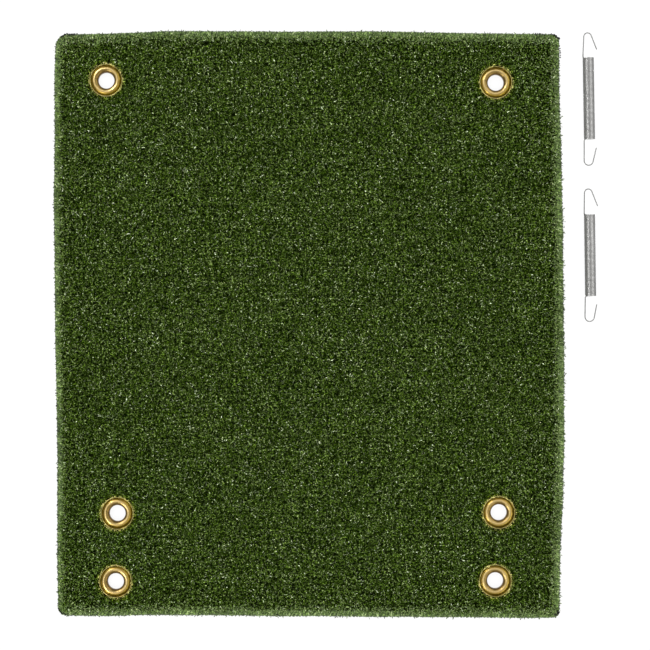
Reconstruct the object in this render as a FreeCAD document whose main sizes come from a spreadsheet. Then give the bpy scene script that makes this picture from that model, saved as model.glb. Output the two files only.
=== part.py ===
import FreeCAD
import Part
import Sketcher

import math
import os

# Golf hitting mat: a tufted turf field on a woven and a rubber backing, four
# lengths of overlocked edge binding, six set grommets (eyelet and washer) and
# two loose extension springs with J-shaped side hooks.
#
# Frame: origin at the centre of the underside, +X to the right, +Y to the
# back, +Z up. All lengths in millimetres, all angles in degrees.

doc = FreeCAD.newDocument("hitting_mat")
sheet = doc.addObject("Spreadsheet::Sheet", "Sheet")

SIZES = [
    # the mat
    ("mat_width", 508.0),
    ("mat_depth", 584.0),
    ("corner_rad", 12.0),
    ("base_thick", 2.4),
    ("web_thick", 0.6),
    ("pile_thick", 7.5),
    ("pile_edge_round", 2.0),
    # the overlocked binding, a C-shaped strip round the cut edge
    ("bind_width", 5.5),
    ("bind_wall", 1.2),
    ("bind_top", 5.6),
    ("bind_round", 1.8),
    # the set grommet
    ("bore_rad", 7.94),
    ("metal_thick", 0.8),
    ("hump_rad", 3.6),
    ("hump_level", 4.16),
    ("groove_at", 14.5),
    ("groove_rad", 1.0),
    ("rim_bead_rad", 0.55),
    ("flange_rad", 16.4),
    ("curl_rad", 1.6),
    ("curl_bottom", 0.1),
    ("curl_out", 10.6),
    ("dimple_rad", 16.6),
    ("dimple_floor", 5.8),
    ("pile_hole_rad", 9.4),
    ("washer_in", 9.65),
    ("washer_out", 14.3),
    ("washer_thick", 0.7),
    ("washer_lip", 0.35),
    ("washer_seat_rad", 14.45),
    ("washer_seat_top", 1.95),
    # grommet centres
    ("back_left_x", -201.65),
    ("back_left_y", 243.5),
    ("back_right_x", 187.7),
    ("back_right_y", 241.3),
    ("mid_left_x", -190.5),
    ("mid_left_y", -189.1),
    ("mid_right_x", 190.7),
    ("mid_right_y", -188.3),
    ("front_left_x", -192.2),
    ("front_left_y", -257.2),
    ("front_right_x", 187.2),
    ("front_right_y", -256.4),
    # the springs: wire, coil and bend
    ("wire_dia", 1.18),
    ("coil_mean_rad", 5.0),
    ("coil_pitch", 1.2),
    ("coil_half_turns", 136),
    ("end_bend_rad", 2.2),
    # where each spring lies: centre of the coil, lean to the left, roll
    ("one_x", 280.75),
    ("one_y", 225.6),
    ("one_lean", 0.9),
    ("two_x", 281.95),
    ("two_y", 68.85),
    ("two_lean", 0.78),
    ("axis_height", 5.62),
    ("spring_roll", 8.0),
    # hooks: straight leg, bend radius, flare of the free end, its length and
    # the leg's lean towards the mouth in degrees
    ("one_back_leg", 18.67),
    ("one_back_bend", 3.98),
    ("one_back_flare", 21.2),
    ("one_back_tail", 14.45),
    ("one_back_splay", 3.4),
    ("one_front_leg", 19.25),
    ("one_front_bend", 4.63),
    ("one_front_flare", 14.4),
    ("one_front_tail", 13.9),
    ("one_front_splay", -1.0),
    ("two_back_leg", 19.2),
    ("two_back_bend", 4.0),
    ("two_back_flare", 21.4),
    ("two_back_tail", 15.1),
    ("two_back_splay", 1.55),
    ("two_front_leg", 18.4),
    ("two_front_bend", 4.81),
    ("two_front_flare", 12.0),
    ("two_front_tail", 13.0),
    ("two_front_splay", -1.8),
]


class Dim:
    """A number together with the sheet expression that gives it."""

    def __init__(self, value, text):
        self.value = float(value)
        self.text = text

    def __add__(self, other):
        o = dim(other)
        return Dim(self.value + o.value, "(%s + %s)" % (self.text, o.text))

    def __radd__(self, other):
        return dim(other) + self

    def __sub__(self, other):
        o = dim(other)
        return Dim(self.value - o.value, "(%s - %s)" % (self.text, o.text))

    def __rsub__(self, other):
        return dim(other) - self

    def __mul__(self, other):
        o = dim(other)
        return Dim(self.value * o.value, "(%s * %s)" % (self.text, o.text))

    def __rmul__(self, other):
        return dim(other) * self

    def __truediv__(self, other):
        o = dim(other)
        return Dim(self.value / o.value, "(%s / %s)" % (self.text, o.text))

    def __neg__(self):
        return Dim(-self.value, "(-1 * %s)" % self.text)


def dim(x):
    return x if isinstance(x, Dim) else Dim(x, "%.10g" % x if x >= 0 else "(%.10g)" % x)


def root(x):
    return Dim(math.sqrt(x.value), "sqrt(%s)" % x.text)


S = {}
for row, (name, value) in enumerate(SIZES, start=1):
    sheet.set("A%d" % row, name)
    sheet.set("B%d" % row, "%.10g" % value)
    sheet.setAlias("B%d" % row, name)
    S[name] = Dim(value, "Sheet." + name)
doc.recompute()


def bind(obj, prop, d):
    obj.setExpression(prop, dim(d).text)


def plane(body, role):
    for f in body.Origin.OriginFeatures:
        if f.Role == role:
            return f
    raise RuntimeError("no plane " + role)


def new_body(label):
    body = doc.addObject("PartDesign::Body", label)
    body.Label = label
    return body


def sketch_on(body, role, name, lift=None):
    sk = body.newObject("Sketcher::SketchObject", name)
    sk.AttachmentSupport = [(plane(body, role), "")]
    sk.MapMode = "FlatFace"
    if lift is not None:
        sk.AttachmentOffset = FreeCAD.Placement(
            FreeCAD.Vector(0, 0, lift.value), FreeCAD.Rotation()
        )
        bind(sk, "AttachmentOffset.Base.z", lift)
    return sk


def pin_point(sk, geo, pos, x, y):
    """Fixes one point of a sketch to a pair of sheet expressions."""
    for axis, d, line in (("DistanceX", x, -2), ("DistanceY", y, -1)):
        d = dim(d)
        if abs(d.value) < 1e-9:
            sk.addConstraint(Sketcher.Constraint("PointOnObject", geo, pos, line))
        else:
            i = sk.addConstraint(Sketcher.Constraint(axis, -1, 1, geo, pos, d.value))
            bind(sk, "Constraints[%d]" % i, d)


def V(x, y, z=0.0):
    return FreeCAD.Vector(x, y, z)


def outline(sk, corners, closed=True):
    """Draws a chain of lines and arcs. corners: (x, y, bulge), where bulge is
    None for a straight run to the next corner, or (radius, side): side +1
    puts the arc's centre to the left of the run, -1 to its right."""
    n = len(corners)
    runs = n if closed else n - 1
    ids = []
    for i in range(runs):
        x0, y0, bulge = corners[i]
        x1, y1, _ = corners[(i + 1) % n]
        a = V(dim(x0).value, dim(y0).value)
        b = V(dim(x1).value, dim(y1).value)
        if bulge is None:
            ids.append((sk.addGeometry(Part.LineSegment(a, b), False), 1, 2))
        else:
            radius, side = dim(bulge[0]), bulge[1]
            mid = (a + b) * 0.5
            half = (b - a).Length / 2
            along = (b - a).normalize()
            left = V(-along.y, along.x)
            rise = math.sqrt(max(radius.value**2 - half**2, 0.0))
            c = mid + left * (side * rise)
            circle = Part.Circle(c, V(0, 0, 1), radius.value)
            ta = math.atan2(a.y - c.y, a.x - c.x)
            tb = math.atan2(b.y - c.y, b.x - c.x)
            if side > 0:  # counter-clockwise from a to b
                if tb < ta:
                    tb += 2 * math.pi
                g = sk.addGeometry(Part.ArcOfCircle(circle, ta, tb), False)
                ids.append((g, 1, 2))
            else:
                if ta < tb:
                    ta += 2 * math.pi
                g = sk.addGeometry(Part.ArcOfCircle(circle, tb, ta), False)
                ids.append((g, 2, 1))
    for i in range(runs):
        g, first, last = ids[i]
        if i + 1 < runs or closed:
            h, hfirst, _ = ids[(i + 1) % runs]
            sk.addConstraint(Sketcher.Constraint("Coincident", g, last, h, hfirst))
    for i in range(runs):
        g, first, last = ids[i]
        pin_point(sk, g, first, corners[i][0], corners[i][1])
        if not closed and i == runs - 1:
            pin_point(sk, g, last, corners[i + 1][0], corners[i + 1][1])
        if corners[i][2] is not None:
            k = sk.addConstraint(
                Sketcher.Constraint("Radius", g, dim(corners[i][2][0]).value)
            )
            bind(sk, "Constraints[%d]" % k, corners[i][2][0])


def rounded_rect(sk, half_w, half_d, rad):
    """A rectangle centred on the origin with rounded corners."""
    outline(
        sk,
        [
            (half_w - rad, -half_d, (rad, 1)),
            (half_w, -half_d + rad, None),
            (half_w, half_d - rad, (rad, 1)),
            (half_w - rad, half_d, None),
            (-half_w + rad, half_d, (rad, 1)),
            (-half_w, half_d - rad, None),
            (-half_w, -half_d + rad, (rad, 1)),
            (-half_w + rad, -half_d, None),
        ],
    )


def circles(sk, centres, rad):
    for x, y in centres:
        g = sk.addGeometry(
            Part.Circle(V(x.value, y.value), V(0, 0, 1), rad.value), False
        )
        pin_point(sk, g, 3, x, y)
        k = sk.addConstraint(Sketcher.Constraint("Radius", g, rad.value))
        bind(sk, "Constraints[%d]" % k, rad)


def pad(body, sk, name, length):
    f = body.newObject("PartDesign::Pad", name)
    f.Profile = sk
    f.Length = length.value
    bind(f, "Length", length)
    sk.Visibility = False
    return f


def pocket_up(body, sk, name, depth):
    """A pocket that cuts from its sketch towards +Z; a check below compares
    the volume before and after."""
    before = body.Shape.Volume if not body.Shape.isNull() else 0.0
    f = body.newObject("PartDesign::Pocket", name)
    f.Profile = sk
    f.Length = depth.value
    bind(f, "Length", depth)
    f.Reversed = True
    doc.recompute()
    if not body.Shape.Volume < before - 1.0:
        raise RuntimeError("pocket %s cuts nothing" % name)
    return f


CENTRES = {
    name: (S[name + "_x"], S[name + "_y"])
    for name in (
        "back_left",
        "back_right",
        "mid_left",
        "mid_right",
        "front_left",
        "front_right",
    )
}

half_w = S["mat_width"] / 2
half_d = S["mat_depth"] / 2
wall = S["bind_wall"]
lap = S["bind_width"]
web_bottom = S["base_thick"]
pile_bottom = web_bottom + S["web_thick"]
pile_top = pile_bottom + S["pile_thick"]
edge_top = S["bind_top"] - wall  # the yarn crushed under the binding's top leg
barrel_out = S["bore_rad"] + S["metal_thick"]

# ---------------------------------------------------------------- rubber base
body = new_body("secondary_backing")
sk = sketch_on(body, "XY_Plane", "base_foot")
rounded_rect(sk, half_w - lap, half_d - lap, S["corner_rad"] - lap)
pad(body, sk, "base_foot_pad", wall)
sk = sketch_on(body, "XY_Plane", "base_sheet", wall)
rounded_rect(sk, half_w - wall, half_d - wall, S["corner_rad"] - wall)
pad(body, sk, "base_sheet_pad", web_bottom - wall)
doc.recompute()
sk = sketch_on(body, "XY_Plane", "base_barrel_holes")
circles(sk, CENTRES.values(), barrel_out)
pocket_up(body, sk, "base_barrel_pocket", web_bottom)
sk = sketch_on(body, "XY_Plane", "base_washer_seats")
circles(sk, CENTRES.values(), S["washer_seat_rad"])
pocket_up(body, sk, "base_washer_pocket", S["washer_seat_top"])

# --------------------------------------------------------------- woven backing
body = new_body("primary_backing")
sk = sketch_on(body, "XY_Plane", "web_sheet", web_bottom)
rounded_rect(sk, half_w - wall, half_d - wall, S["corner_rad"] - wall)
pad(body, sk, "web_sheet_pad", S["web_thick"])
doc.recompute()
sk = sketch_on(body, "XY_Plane", "web_barrel_holes", web_bottom)
circles(sk, CENTRES.values(), barrel_out)
pocket_up(body, sk, "web_barrel_pocket", S["web_thick"])

# ------------------------------------------------------------------- turf pile
body = new_body("turf_pile")
sk = sketch_on(body, "XY_Plane", "pile_skirt", pile_bottom)
rounded_rect(sk, half_w - wall, half_d - wall, S["corner_rad"] - wall)
pad(body, sk, "pile_skirt_pad", edge_top - pile_bottom)
sk = sketch_on(body, "XY_Plane", "pile_field", edge_top)
rounded_rect(sk, half_w - lap, half_d - lap, S["corner_rad"] - lap)
field = pad(body, sk, "pile_field_pad", pile_top - edge_top)
doc.recompute()
rim_edges = [
    "Edge%d" % (i + 1)
    for i, e in enumerate(field.Shape.Edges)
    if abs(e.BoundBox.ZMin - pile_top.value) < 1e-6
    and abs(e.BoundBox.ZMax - pile_top.value) < 1e-6
]
rounding = body.newObject("PartDesign::Fillet", "pile_edge_rounding")
rounding.Base = (field, rim_edges)
rounding.Radius = S["pile_edge_round"].value
bind(rounding, "Radius", S["pile_edge_round"])
doc.recompute()
sk = sketch_on(body, "XY_Plane", "pile_barrel_holes", pile_bottom)
circles(sk, CENTRES.values(), S["pile_hole_rad"])
pocket_up(body, sk, "pile_barrel_pocket", S["pile_thick"])
sk = sketch_on(body, "XY_Plane", "pile_dimples", S["dimple_floor"])
circles(sk, CENTRES.values(), S["dimple_rad"])
pocket_up(body, sk, "pile_dimple_pocket", pile_top - S["dimple_floor"])


# ---------------------------------------------------------------- edge binding
def binding_section(sk, edge, sense):
    """The C-shaped section, with its back on the line x = edge and its legs
    pointing along sense."""
    top, round_ = S["bind_top"], S["bind_round"]

    def at(u):
        return edge + u if sense > 0 else edge - u

    zero = dim(0.0)
    outline(
        sk,
        [
            (at(zero), round_, None),
            (at(zero), top - round_, (round_, -sense)),
            (at(round_), top, None),
            (at(lap), top, None),
            (at(lap), top - wall, None),
            (at(wall), top - wall, None),
            (at(wall), wall, None),
            (at(lap), wall, None),
            (at(lap), zero, None),
            (at(round_), zero, (round_, -sense)),
        ],
    )


straight = half_d - S["corner_rad"]
for label, edge, sense in (
    ("binding_left", -half_w, 1),
    ("binding_right", half_w, -1),
):
    body = new_body(label)
    # the XZ plane looks along -Y, so the strip is drawn at its front end
    sk = sketch_on(body, "XZ_Plane", label + "_section", straight)
    binding_section(sk, edge, sense)
    f = pad(body, sk, label + "_pad", straight * 2)
    f.Reversed = True

for label, side in (("binding_back", 1), ("binding_front", -1)):
    body = new_body(label)
    path = sketch_on(body, "XY_Plane", label + "_path")
    y_end = straight if side > 0 else -straight
    y_out = half_d if side > 0 else -half_d
    outline(
        path,
        [
            (-half_w, y_end, (S["corner_rad"], -side)),
            (-half_w + S["corner_rad"], y_out, None),
            (half_w - S["corner_rad"], y_out, (S["corner_rad"], -side)),
            (half_w, y_end, None),
        ],
        closed=False,
    )
    sk = sketch_on(body, "XZ_Plane", label + "_section", -y_end)
    binding_section(sk, -half_w, 1)
    doc.recompute()
    f = body.newObject("PartDesign::AdditivePipe", label + "_pipe")
    f.Profile = sk
    f.Spine = (path, ["Edge1", "Edge2", "Edge3"])
    path.Visibility = False
    sk.Visibility = False


# -------------------------------------------------------------------- grommets
def place(body, name):
    body.Placement = FreeCAD.Placement(
        V(CENTRES[name][0].value, CENTRES[name][1].value, 0), FreeCAD.Rotation()
    )
    bind(body, "Placement.Base.x", CENTRES[name][0])
    bind(body, "Placement.Base.y", CENTRES[name][1])


def revolve(body, sk, name):
    f = body.newObject("PartDesign::Revolution", name)
    f.Profile = sk
    f.ReferenceAxis = (sk, ["V_Axis"])
    f.Angle = 360.0
    sk.Visibility = False
    return f


hump_x = S["bore_rad"] + S["hump_rad"]
level = S["hump_level"]
metal = S["metal_thick"]
reach = S["groove_at"] - hump_x
span_ = S["hump_rad"] + S["groove_rad"]
groove_z = level + root(span_ * span_ - reach * reach)
bead_x = S["flange_rad"] - S["rim_bead_rad"]
bead_reach = bead_x - S["groove_at"]
bead_span = S["groove_rad"] + S["rim_bead_rad"]
bead_z = groove_z - root(bead_span * bead_span - bead_reach * bead_reach)
curl_z = S["curl_bottom"] + S["curl_rad"]
curl_x = S["bore_rad"] + S["curl_rad"]


def toward(x0, z0, x1, z1, dist, total):
    return x0 + (x1 - x0) * dist / total, z0 + (z1 - z0) * dist / total


for name in CENTRES:
    body = new_body("grommet_" + name)
    sk = sketch_on(body, "XZ_Plane", "eyelet_section_" + name)
    top_join = toward(hump_x, level, S["groove_at"], groove_z, S["hump_rad"], span_)
    low_join = toward(
        hump_x, level, S["groove_at"], groove_z, S["hump_rad"] - metal, span_
    )
    bead_join = toward(
        S["groove_at"], groove_z, bead_x, bead_z, S["groove_rad"], bead_span
    )
    under = S["groove_rad"] + metal
    tuck = S["groove_rad"]
    outline(
        sk,
        [
            # up the bore, over the hump and down into the groove
            (S["bore_rad"], curl_z, None),
            (S["bore_rad"], level, (S["hump_rad"], -1)),
            (hump_x, level + S["hump_rad"], (S["hump_rad"], -1)),
            (top_join[0], top_join[1], (S["groove_rad"], 1)),
            # over the rim bead and back under the flange
            (bead_join[0], bead_join[1], (S["rim_bead_rad"], -1)),
            (S["flange_rad"], bead_z, (S["rim_bead_rad"], -1)),
            (bead_x, bead_z - S["rim_bead_rad"], None),
            (
                S["groove_at"] + tuck,
                groove_z - root(under * under - tuck * tuck),
                (under, -1),
            ),
            (low_join[0], low_join[1], (S["hump_rad"] - metal, 1)),
            (hump_x, level + S["hump_rad"] - metal, (S["hump_rad"] - metal, 1)),
            # down the barrel's outside and out along the clinched curl
            (barrel_out, level, None),
            (barrel_out, curl_z, (S["curl_rad"] - metal, 1)),
            (curl_x, S["curl_bottom"] + metal, None),
            (S["curl_out"], S["curl_bottom"] + metal, None),
            (S["curl_out"], S["curl_bottom"], None),
            (curl_x, S["curl_bottom"], (S["curl_rad"], -1)),
        ],
    )
    revolve(body, sk, "eyelet_turning_" + name)
    place(body, name)

for name in CENTRES:
    body = new_body("washer_" + name)
    sk = sketch_on(body, "XZ_Plane", "washer_section_" + name)
    seat = S["curl_bottom"] + metal
    thick = S["washer_thick"]
    lip = S["washer_lip"]
    outline(
        sk,
        [
            # a flat ring whose outer edge is turned up into the rubber
            (S["washer_in"], seat, None),
            (S["washer_out"] - lip, seat, (lip, 1)),
            (S["washer_out"], seat + lip, None),
            (S["washer_out"], seat + thick + lip, None),
            (S["washer_out"] - lip, seat + thick + lip, None),
            (S["washer_out"] - lip * 2, seat + thick, None),
            (S["washer_in"], seat + thick, None),
        ],
    )
    revolve(body, sk, "washer_turning_" + name)
    place(body, name)

# --------------------------------------------------------------------- springs
# Each spring is drawn in its own frame: its axis along +Y, its hooks in the
# XY plane with their mouths towards +X. It then leans by one angle about Z and
# rolls a little about its own axis.


def wire_solid(edges, start, heading):
    path = Part.Wire(edges)
    ring = Part.Wire([Part.Circle(start, heading, S["wire_dia"].value / 2).toShape()])
    return path.makePipeShell([ring], True, True)


MEAN = S["coil_mean_rad"].value
BEND = S["end_bend_rad"].value
PITCH = S["coil_pitch"].value
HALF_TURNS = int(S["coil_half_turns"].value)
# The wire leaves the coil at this angle above the XY plane, so that after a
# quarter bend of radius BEND the hook lies in that plane.
END_ANGLE = math.atan2(BEND, MEAN)
COIL = HALF_TURNS * PITCH / 2


def rest_placement(which):
    return FreeCAD.Placement(
        V(S[which + "_x"].value, S[which + "_y"].value, S["axis_height"].value),
        FreeCAD.Rotation(S[which + "_lean"].value, S["spring_roll"].value, 0),
    )


def coil_shape():
    """A close-wound right-hand coil along +Y, centred on the origin. Each half
    turn is a half circle tilted by half a pitch: the halves meet with one
    tangent, and the winding stays within 0.05 mm of a true helix. Both ends
    come to the -X side; the first and last half turns stop short by END_ANGLE,
    where the hooks take over."""
    edges = []
    for k in range(HALF_TURNS):
        side = -1 if k % 2 == 0 else 1
        a = V(side * MEAN, -COIL / 2 + k * PITCH / 2, 0)
        b = V(-side * MEAN, -COIL / 2 + (k + 1) * PITCH / 2, 0)
        centre = (a + b) * 0.5
        # the even halves pass over the top or the bottom so that the winding
        # is right-handed about +Y
        over = V(0, 0, side) * (-1.0)
        rad = (b - a).Length / 2
        u = (a - centre) * (1.0 / rad)
        a0 = END_ANGLE if k == 0 else 0.0
        a1 = math.pi - (END_ANGLE if k == HALF_TURNS - 1 else 0.0)

        def on(angle):
            return centre + u * (rad * math.cos(angle)) + over * (rad * math.sin(angle))

        edges.append(Part.Arc(on(a0), on((a0 + a1) / 2), on(a1)).toShape())
    first = edges[0]
    start = first.valueAt(first.FirstParameter)
    heading = first.tangentAt(first.FirstParameter)
    last = edges[-1]
    end = last.valueAt(last.LastParameter)
    leaving = last.tangentAt(last.LastParameter)
    return wire_solid(edges, start, heading), end, leaving


def hook_shape(which, end):
    """One J-shaped side hook: a tight bend out of the last turn, a straight
    leg, a bend over the axis and a flared free end. end is +1 at the back."""
    key = "%s_%s_" % (which, "back" if end > 0 else "front")
    leg, bend, flare, tail, splay = (
        S[key + k].value for k in ("leg", "bend", "flare", "tail", "splay")
    )
    flare, splay = math.radians(flare), math.radians(splay)
    # The coil's last point and the way its wire is going there, at the back
    # end. The front end is the same turned half a turn about X.
    p0, out = coil_end, coil_leaving
    ahead = V(math.sin(splay), math.cos(splay), 0)
    turn_angle = math.acos(out.dot(ahead))
    cut = BEND * math.tan(turn_angle / 2)
    corner = p0 + out * cut
    p1 = corner + ahead * cut
    inward = (ahead - out).normalize()
    middle = corner + inward * (math.hypot(cut, BEND) - BEND)
    p2 = p1 + ahead * leg
    centre = p2 + V(math.cos(splay), -math.sin(splay), 0) * bend

    def on(angle):
        return centre + V(math.cos(angle), math.sin(angle)) * bend

    p3 = on(flare)
    turn = on((math.pi - splay + flare) / 2)
    p4 = p3 + V(math.sin(flare), -math.cos(flare)) * tail
    edges = [
        Part.Arc(p0, middle, p1).toShape(),
        Part.LineSegment(p1, p2).toShape(),
        Part.Arc(p2, turn, p3).toShape(),
        Part.LineSegment(p3, p4).toShape(),
    ]
    solid = wire_solid(edges, p0, out)
    # a soft dome on the cut end
    solid = solid.fuse(Part.makeSphere(S["wire_dia"].value / 2, p4)).removeSplitter()
    if end < 0:
        solid.rotate(V(0, 0, 0), V(1, 0, 0), 180.0)
    return solid


def add_feature(label, shape, placement):
    f = doc.addObject("Part::Feature", label)
    f.Label = label
    f.Shape = shape
    f.Placement = placement.multiply(f.Placement)
    return f


coil, coil_end, coil_leaving = coil_shape()
for which, number, moving_end in (("one", 1, 1), ("two", 2, -1)):
    at_rest = rest_placement(which)
    add_feature("spring_%d_coil" % number, coil.copy(), at_rest)
    add_feature(
        "spring_%d_moving_hook" % number,
        hook_shape(which, moving_end),
        at_rest,
    )
    add_feature(
        "spring_%d_fixed_hook" % number,
        hook_shape(which, -moving_end),
        at_rest,
    )

# ------------------------------------------------------------ check and export
doc.recompute()
for obj in doc.Objects:
    if "Invalid" in obj.State or "Error" in obj.State:
        raise RuntimeError("%s did not compute: %s" % (obj.Name, obj.State))

NODES = (
    ["secondary_backing", "primary_backing", "turf_pile"]
    + ["binding_left", "binding_right", "binding_back", "binding_front"]
    + ["grommet_" + name for name in CENTRES]
    + ["washer_" + name for name in CENTRES]
    + [
        "spring_%d_%s" % (n, part)
        for n in (1, 2)
        for part in ("coil", "moving_hook", "fixed_hook")
    ]
)
os.makedirs("parts", exist_ok=True)
for label in NODES:
    obj = doc.getObjectsByLabel(label)[0]
    shape = obj.Shape
    if shape.isNull() or not shape.isValid() or len(shape.Solids) != 1:
        raise RuntimeError("%s is not one valid solid" % label)
    box = shape.BoundBox
    print(
        "%-22s %10.1f mm3  x %.2f..%.2f  y %.2f..%.2f  z %.2f..%.2f"
        % (
            label,
            shape.Volume,
            box.XMin,
            box.XMax,
            box.YMin,
            box.YMax,
            box.ZMin,
            box.ZMax,
        )
    )
for label in NODES:
    doc.getObjectsByLabel(label)[0].Shape.exportStep("parts/%s.step" % label)
print("coil length %.2f mm, %.1f turns" % (COIL, HALF_TURNS / 2))
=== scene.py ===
import bpy
import bmesh
import math
import numpy as np
from mathutils import Vector, Matrix
from mathutils.geometry import delaunay_2d_cdt


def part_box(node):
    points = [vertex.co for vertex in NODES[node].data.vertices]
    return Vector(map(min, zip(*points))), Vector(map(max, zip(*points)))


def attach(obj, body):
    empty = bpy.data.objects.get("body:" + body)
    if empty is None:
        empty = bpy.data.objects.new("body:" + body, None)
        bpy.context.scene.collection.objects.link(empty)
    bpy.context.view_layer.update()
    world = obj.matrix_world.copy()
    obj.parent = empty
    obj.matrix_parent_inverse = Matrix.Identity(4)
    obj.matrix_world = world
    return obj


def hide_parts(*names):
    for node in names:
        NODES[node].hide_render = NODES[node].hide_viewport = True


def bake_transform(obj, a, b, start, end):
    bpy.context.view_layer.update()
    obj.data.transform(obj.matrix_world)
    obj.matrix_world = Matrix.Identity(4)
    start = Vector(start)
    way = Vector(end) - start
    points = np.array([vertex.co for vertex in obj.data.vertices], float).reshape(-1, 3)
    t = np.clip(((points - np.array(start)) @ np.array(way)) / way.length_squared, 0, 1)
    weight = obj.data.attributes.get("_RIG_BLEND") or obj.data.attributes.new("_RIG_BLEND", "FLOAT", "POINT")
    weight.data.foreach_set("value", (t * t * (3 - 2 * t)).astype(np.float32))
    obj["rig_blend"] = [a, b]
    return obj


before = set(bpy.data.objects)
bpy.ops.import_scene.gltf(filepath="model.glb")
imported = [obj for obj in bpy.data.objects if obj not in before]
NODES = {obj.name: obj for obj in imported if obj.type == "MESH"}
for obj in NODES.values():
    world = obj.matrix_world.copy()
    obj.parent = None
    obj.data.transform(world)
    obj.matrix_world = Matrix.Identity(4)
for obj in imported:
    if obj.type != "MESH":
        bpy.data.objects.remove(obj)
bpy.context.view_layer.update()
MM = 0.001
TAU = 2 * math.pi

# ------------------------------------------------------------------ outline
# The mat is cut and bound by hand, so its sides wander by a few millimetres
# from a true rectangle. Everything is laid out on the true rectangle and then
# moved by warp(). Sizes in this file are millimetres until mesh() scales them.
HALF_W, HALF_D = 254.0, 292.0
STRAIGHT = 280.0
RADII = {"bl": 9.0, "br": 6.3, "tr": 6.5, "tl": 12.0}
LEFT = [(-292, -250), (-266, -250), (-236, -250.7), (-176, -250.6), (-116, -250.6),
        (-86, -251.3), (-56, -251.8), (-26, -252.6), (4, -252.8), (34, -253.2),
        (64, -253.3), (94, -253.7), (124, -254.3), (154, -253.7), (184, -253.2),
        (214, -253.4), (244, -253.6), (274, -252.7), (292, -252.4)]
RIGHT = [(-292, 251.6), (-266, 252.1), (-236, 252.1), (-206, 253), (-176, 255.1),
         (-146, 255.3), (-116, 256.6), (-86, 256.1), (-56, 256.3), (-26, 256.2),
         (4, 255.6), (34, 255.6), (64, 255), (94, 255.1), (124, 254.4), (154, 253.7),
         (184, 253.1), (214, 251.9), (244, 251.2), (274, 251.4), (292, 251.2)]
BACK = [(-254, 289.6), (-233, 290.1), (-203, 290.7), (-173, 291.8), (-143, 293.3),
        (-113, 293.2), (-53, 293), (-23, 292.6), (7, 292.9), (67, 293), (97, 292.6),
        (127, 291.9), (157, 291.3), (187, 290.9), (217, 290.5), (254, 290)]
FRONT = [(-254, -291.3), (-233, -291.6), (-203, -292), (-173, -291), (-143, -291),
         (-83, -291.2), (-53, -291.8), (-23, -292.3), (7, -291.9), (37, -292.3),
         (67, -292.8), (97, -292.7), (127, -293.1), (157, -292.9), (187, -293.4),
         (217, -293.9), (254, -293.4)]


def smooth_table(knots):
    knots = np.array(knots, float)
    grid = np.arange(-330.0, 331.0, 1.0)
    raw = np.interp(grid, knots[:, 0], knots[:, 1])
    window = np.hanning(31)
    window /= window.sum()
    padded = np.concatenate([np.full(15, raw[0]), raw, np.full(15, raw[-1])])
    return grid, np.convolve(padded, window, "valid")


T_LEFT, T_RIGHT, T_BACK, T_FRONT = map(smooth_table, (LEFT, RIGHT, BACK, FRONT))
T_LEFT[1][:] -= 0.25
T_FRONT[1][:] -= 0.35
T_BACK[1][:] -= 0.10


def warp(p):
    """Moves points of the true rectangle to the mat's own outline."""
    p = np.asarray(p, float)
    sx, sy = p[..., 0] / HALF_W, p[..., 1] / HALF_D
    x = (1 - sx) / 2 * np.interp(p[..., 1], *T_LEFT) + (1 + sx) / 2 * np.interp(
        p[..., 1], *T_RIGHT
    )
    y = (1 - sy) / 2 * np.interp(p[..., 0], *T_FRONT) + (1 + sy) / 2 * np.interp(
        p[..., 0], *T_BACK
    )
    out = p.copy()
    out[..., 0], out[..., 1] = x, y
    return out


def edge_run(side, step):
    """Stations along one binding strip on the true rectangle, going round
    anticlockwise: point, outward direction and distance along the run. The
    left and right strips are straight, and the back and front strips carry
    the corners, as the CAD's do."""
    pts, out = [], []

    def line(a, b, n):
        count = max(2, int(math.hypot(b[0] - a[0], b[1] - a[1]) / step) + 1)
        for t in np.linspace(0, 1, count):
            pts.append((a[0] + (b[0] - a[0]) * t, a[1] + (b[1] - a[1]) * t))
            out.append(n)

    def arc(cx, cy, r, a0, a1):
        count = max(8, int(abs(a1 - a0) * r / step * 1.6) + 1)
        for a in np.linspace(a0, a1, count):
            pts.append((cx + r * math.cos(a), cy + r * math.sin(a)))
            out.append((math.cos(a), math.sin(a)))

    q = math.pi / 2
    if side == "right":
        line((HALF_W, -STRAIGHT), (HALF_W, STRAIGHT), (1, 0))
    elif side == "left":
        line((-HALF_W, STRAIGHT), (-HALF_W, -STRAIGHT), (-1, 0))
    elif side == "back":
        r, l = RADII["tr"], RADII["tl"]
        if HALF_D - r > STRAIGHT:
            line((HALF_W, STRAIGHT), (HALF_W, HALF_D - r), (1, 0))
        arc(HALF_W - r, HALF_D - r, r, 0, q)
        line((HALF_W - r, HALF_D), (-HALF_W + l, HALF_D), (0, 1))
        arc(-HALF_W + l, HALF_D - l, l, q, 2 * q)
        if HALF_D - l > STRAIGHT:
            line((-HALF_W, HALF_D - l), (-HALF_W, STRAIGHT), (-1, 0))
    else:
        l, r = RADII["bl"], RADII["br"]
        if HALF_D - l > STRAIGHT:
            line((-HALF_W, -STRAIGHT), (-HALF_W, -HALF_D + l), (-1, 0))
        arc(-HALF_W + l, -HALF_D + l, l, 2 * q, 3 * q)
        line((-HALF_W + l, -HALF_D), (HALF_W - r, -HALF_D), (0, -1))
        arc(HALF_W - r, -HALF_D + r, r, 3 * q, 4 * q)
        if HALF_D - r > STRAIGHT:
            line((HALF_W, -HALF_D + r), (HALF_W, -STRAIGHT), (1, 0))
    pts, out = np.array(pts), np.array(out, float)
    keep = np.ones(len(pts), bool)
    keep[1:] = np.linalg.norm(np.diff(pts, axis=0), axis=1) > 1e-6
    pts, out = pts[keep], out[keep]
    along = np.concatenate([[0], np.cumsum(np.linalg.norm(np.diff(pts, axis=0), axis=1))])
    return pts, out, along


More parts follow.
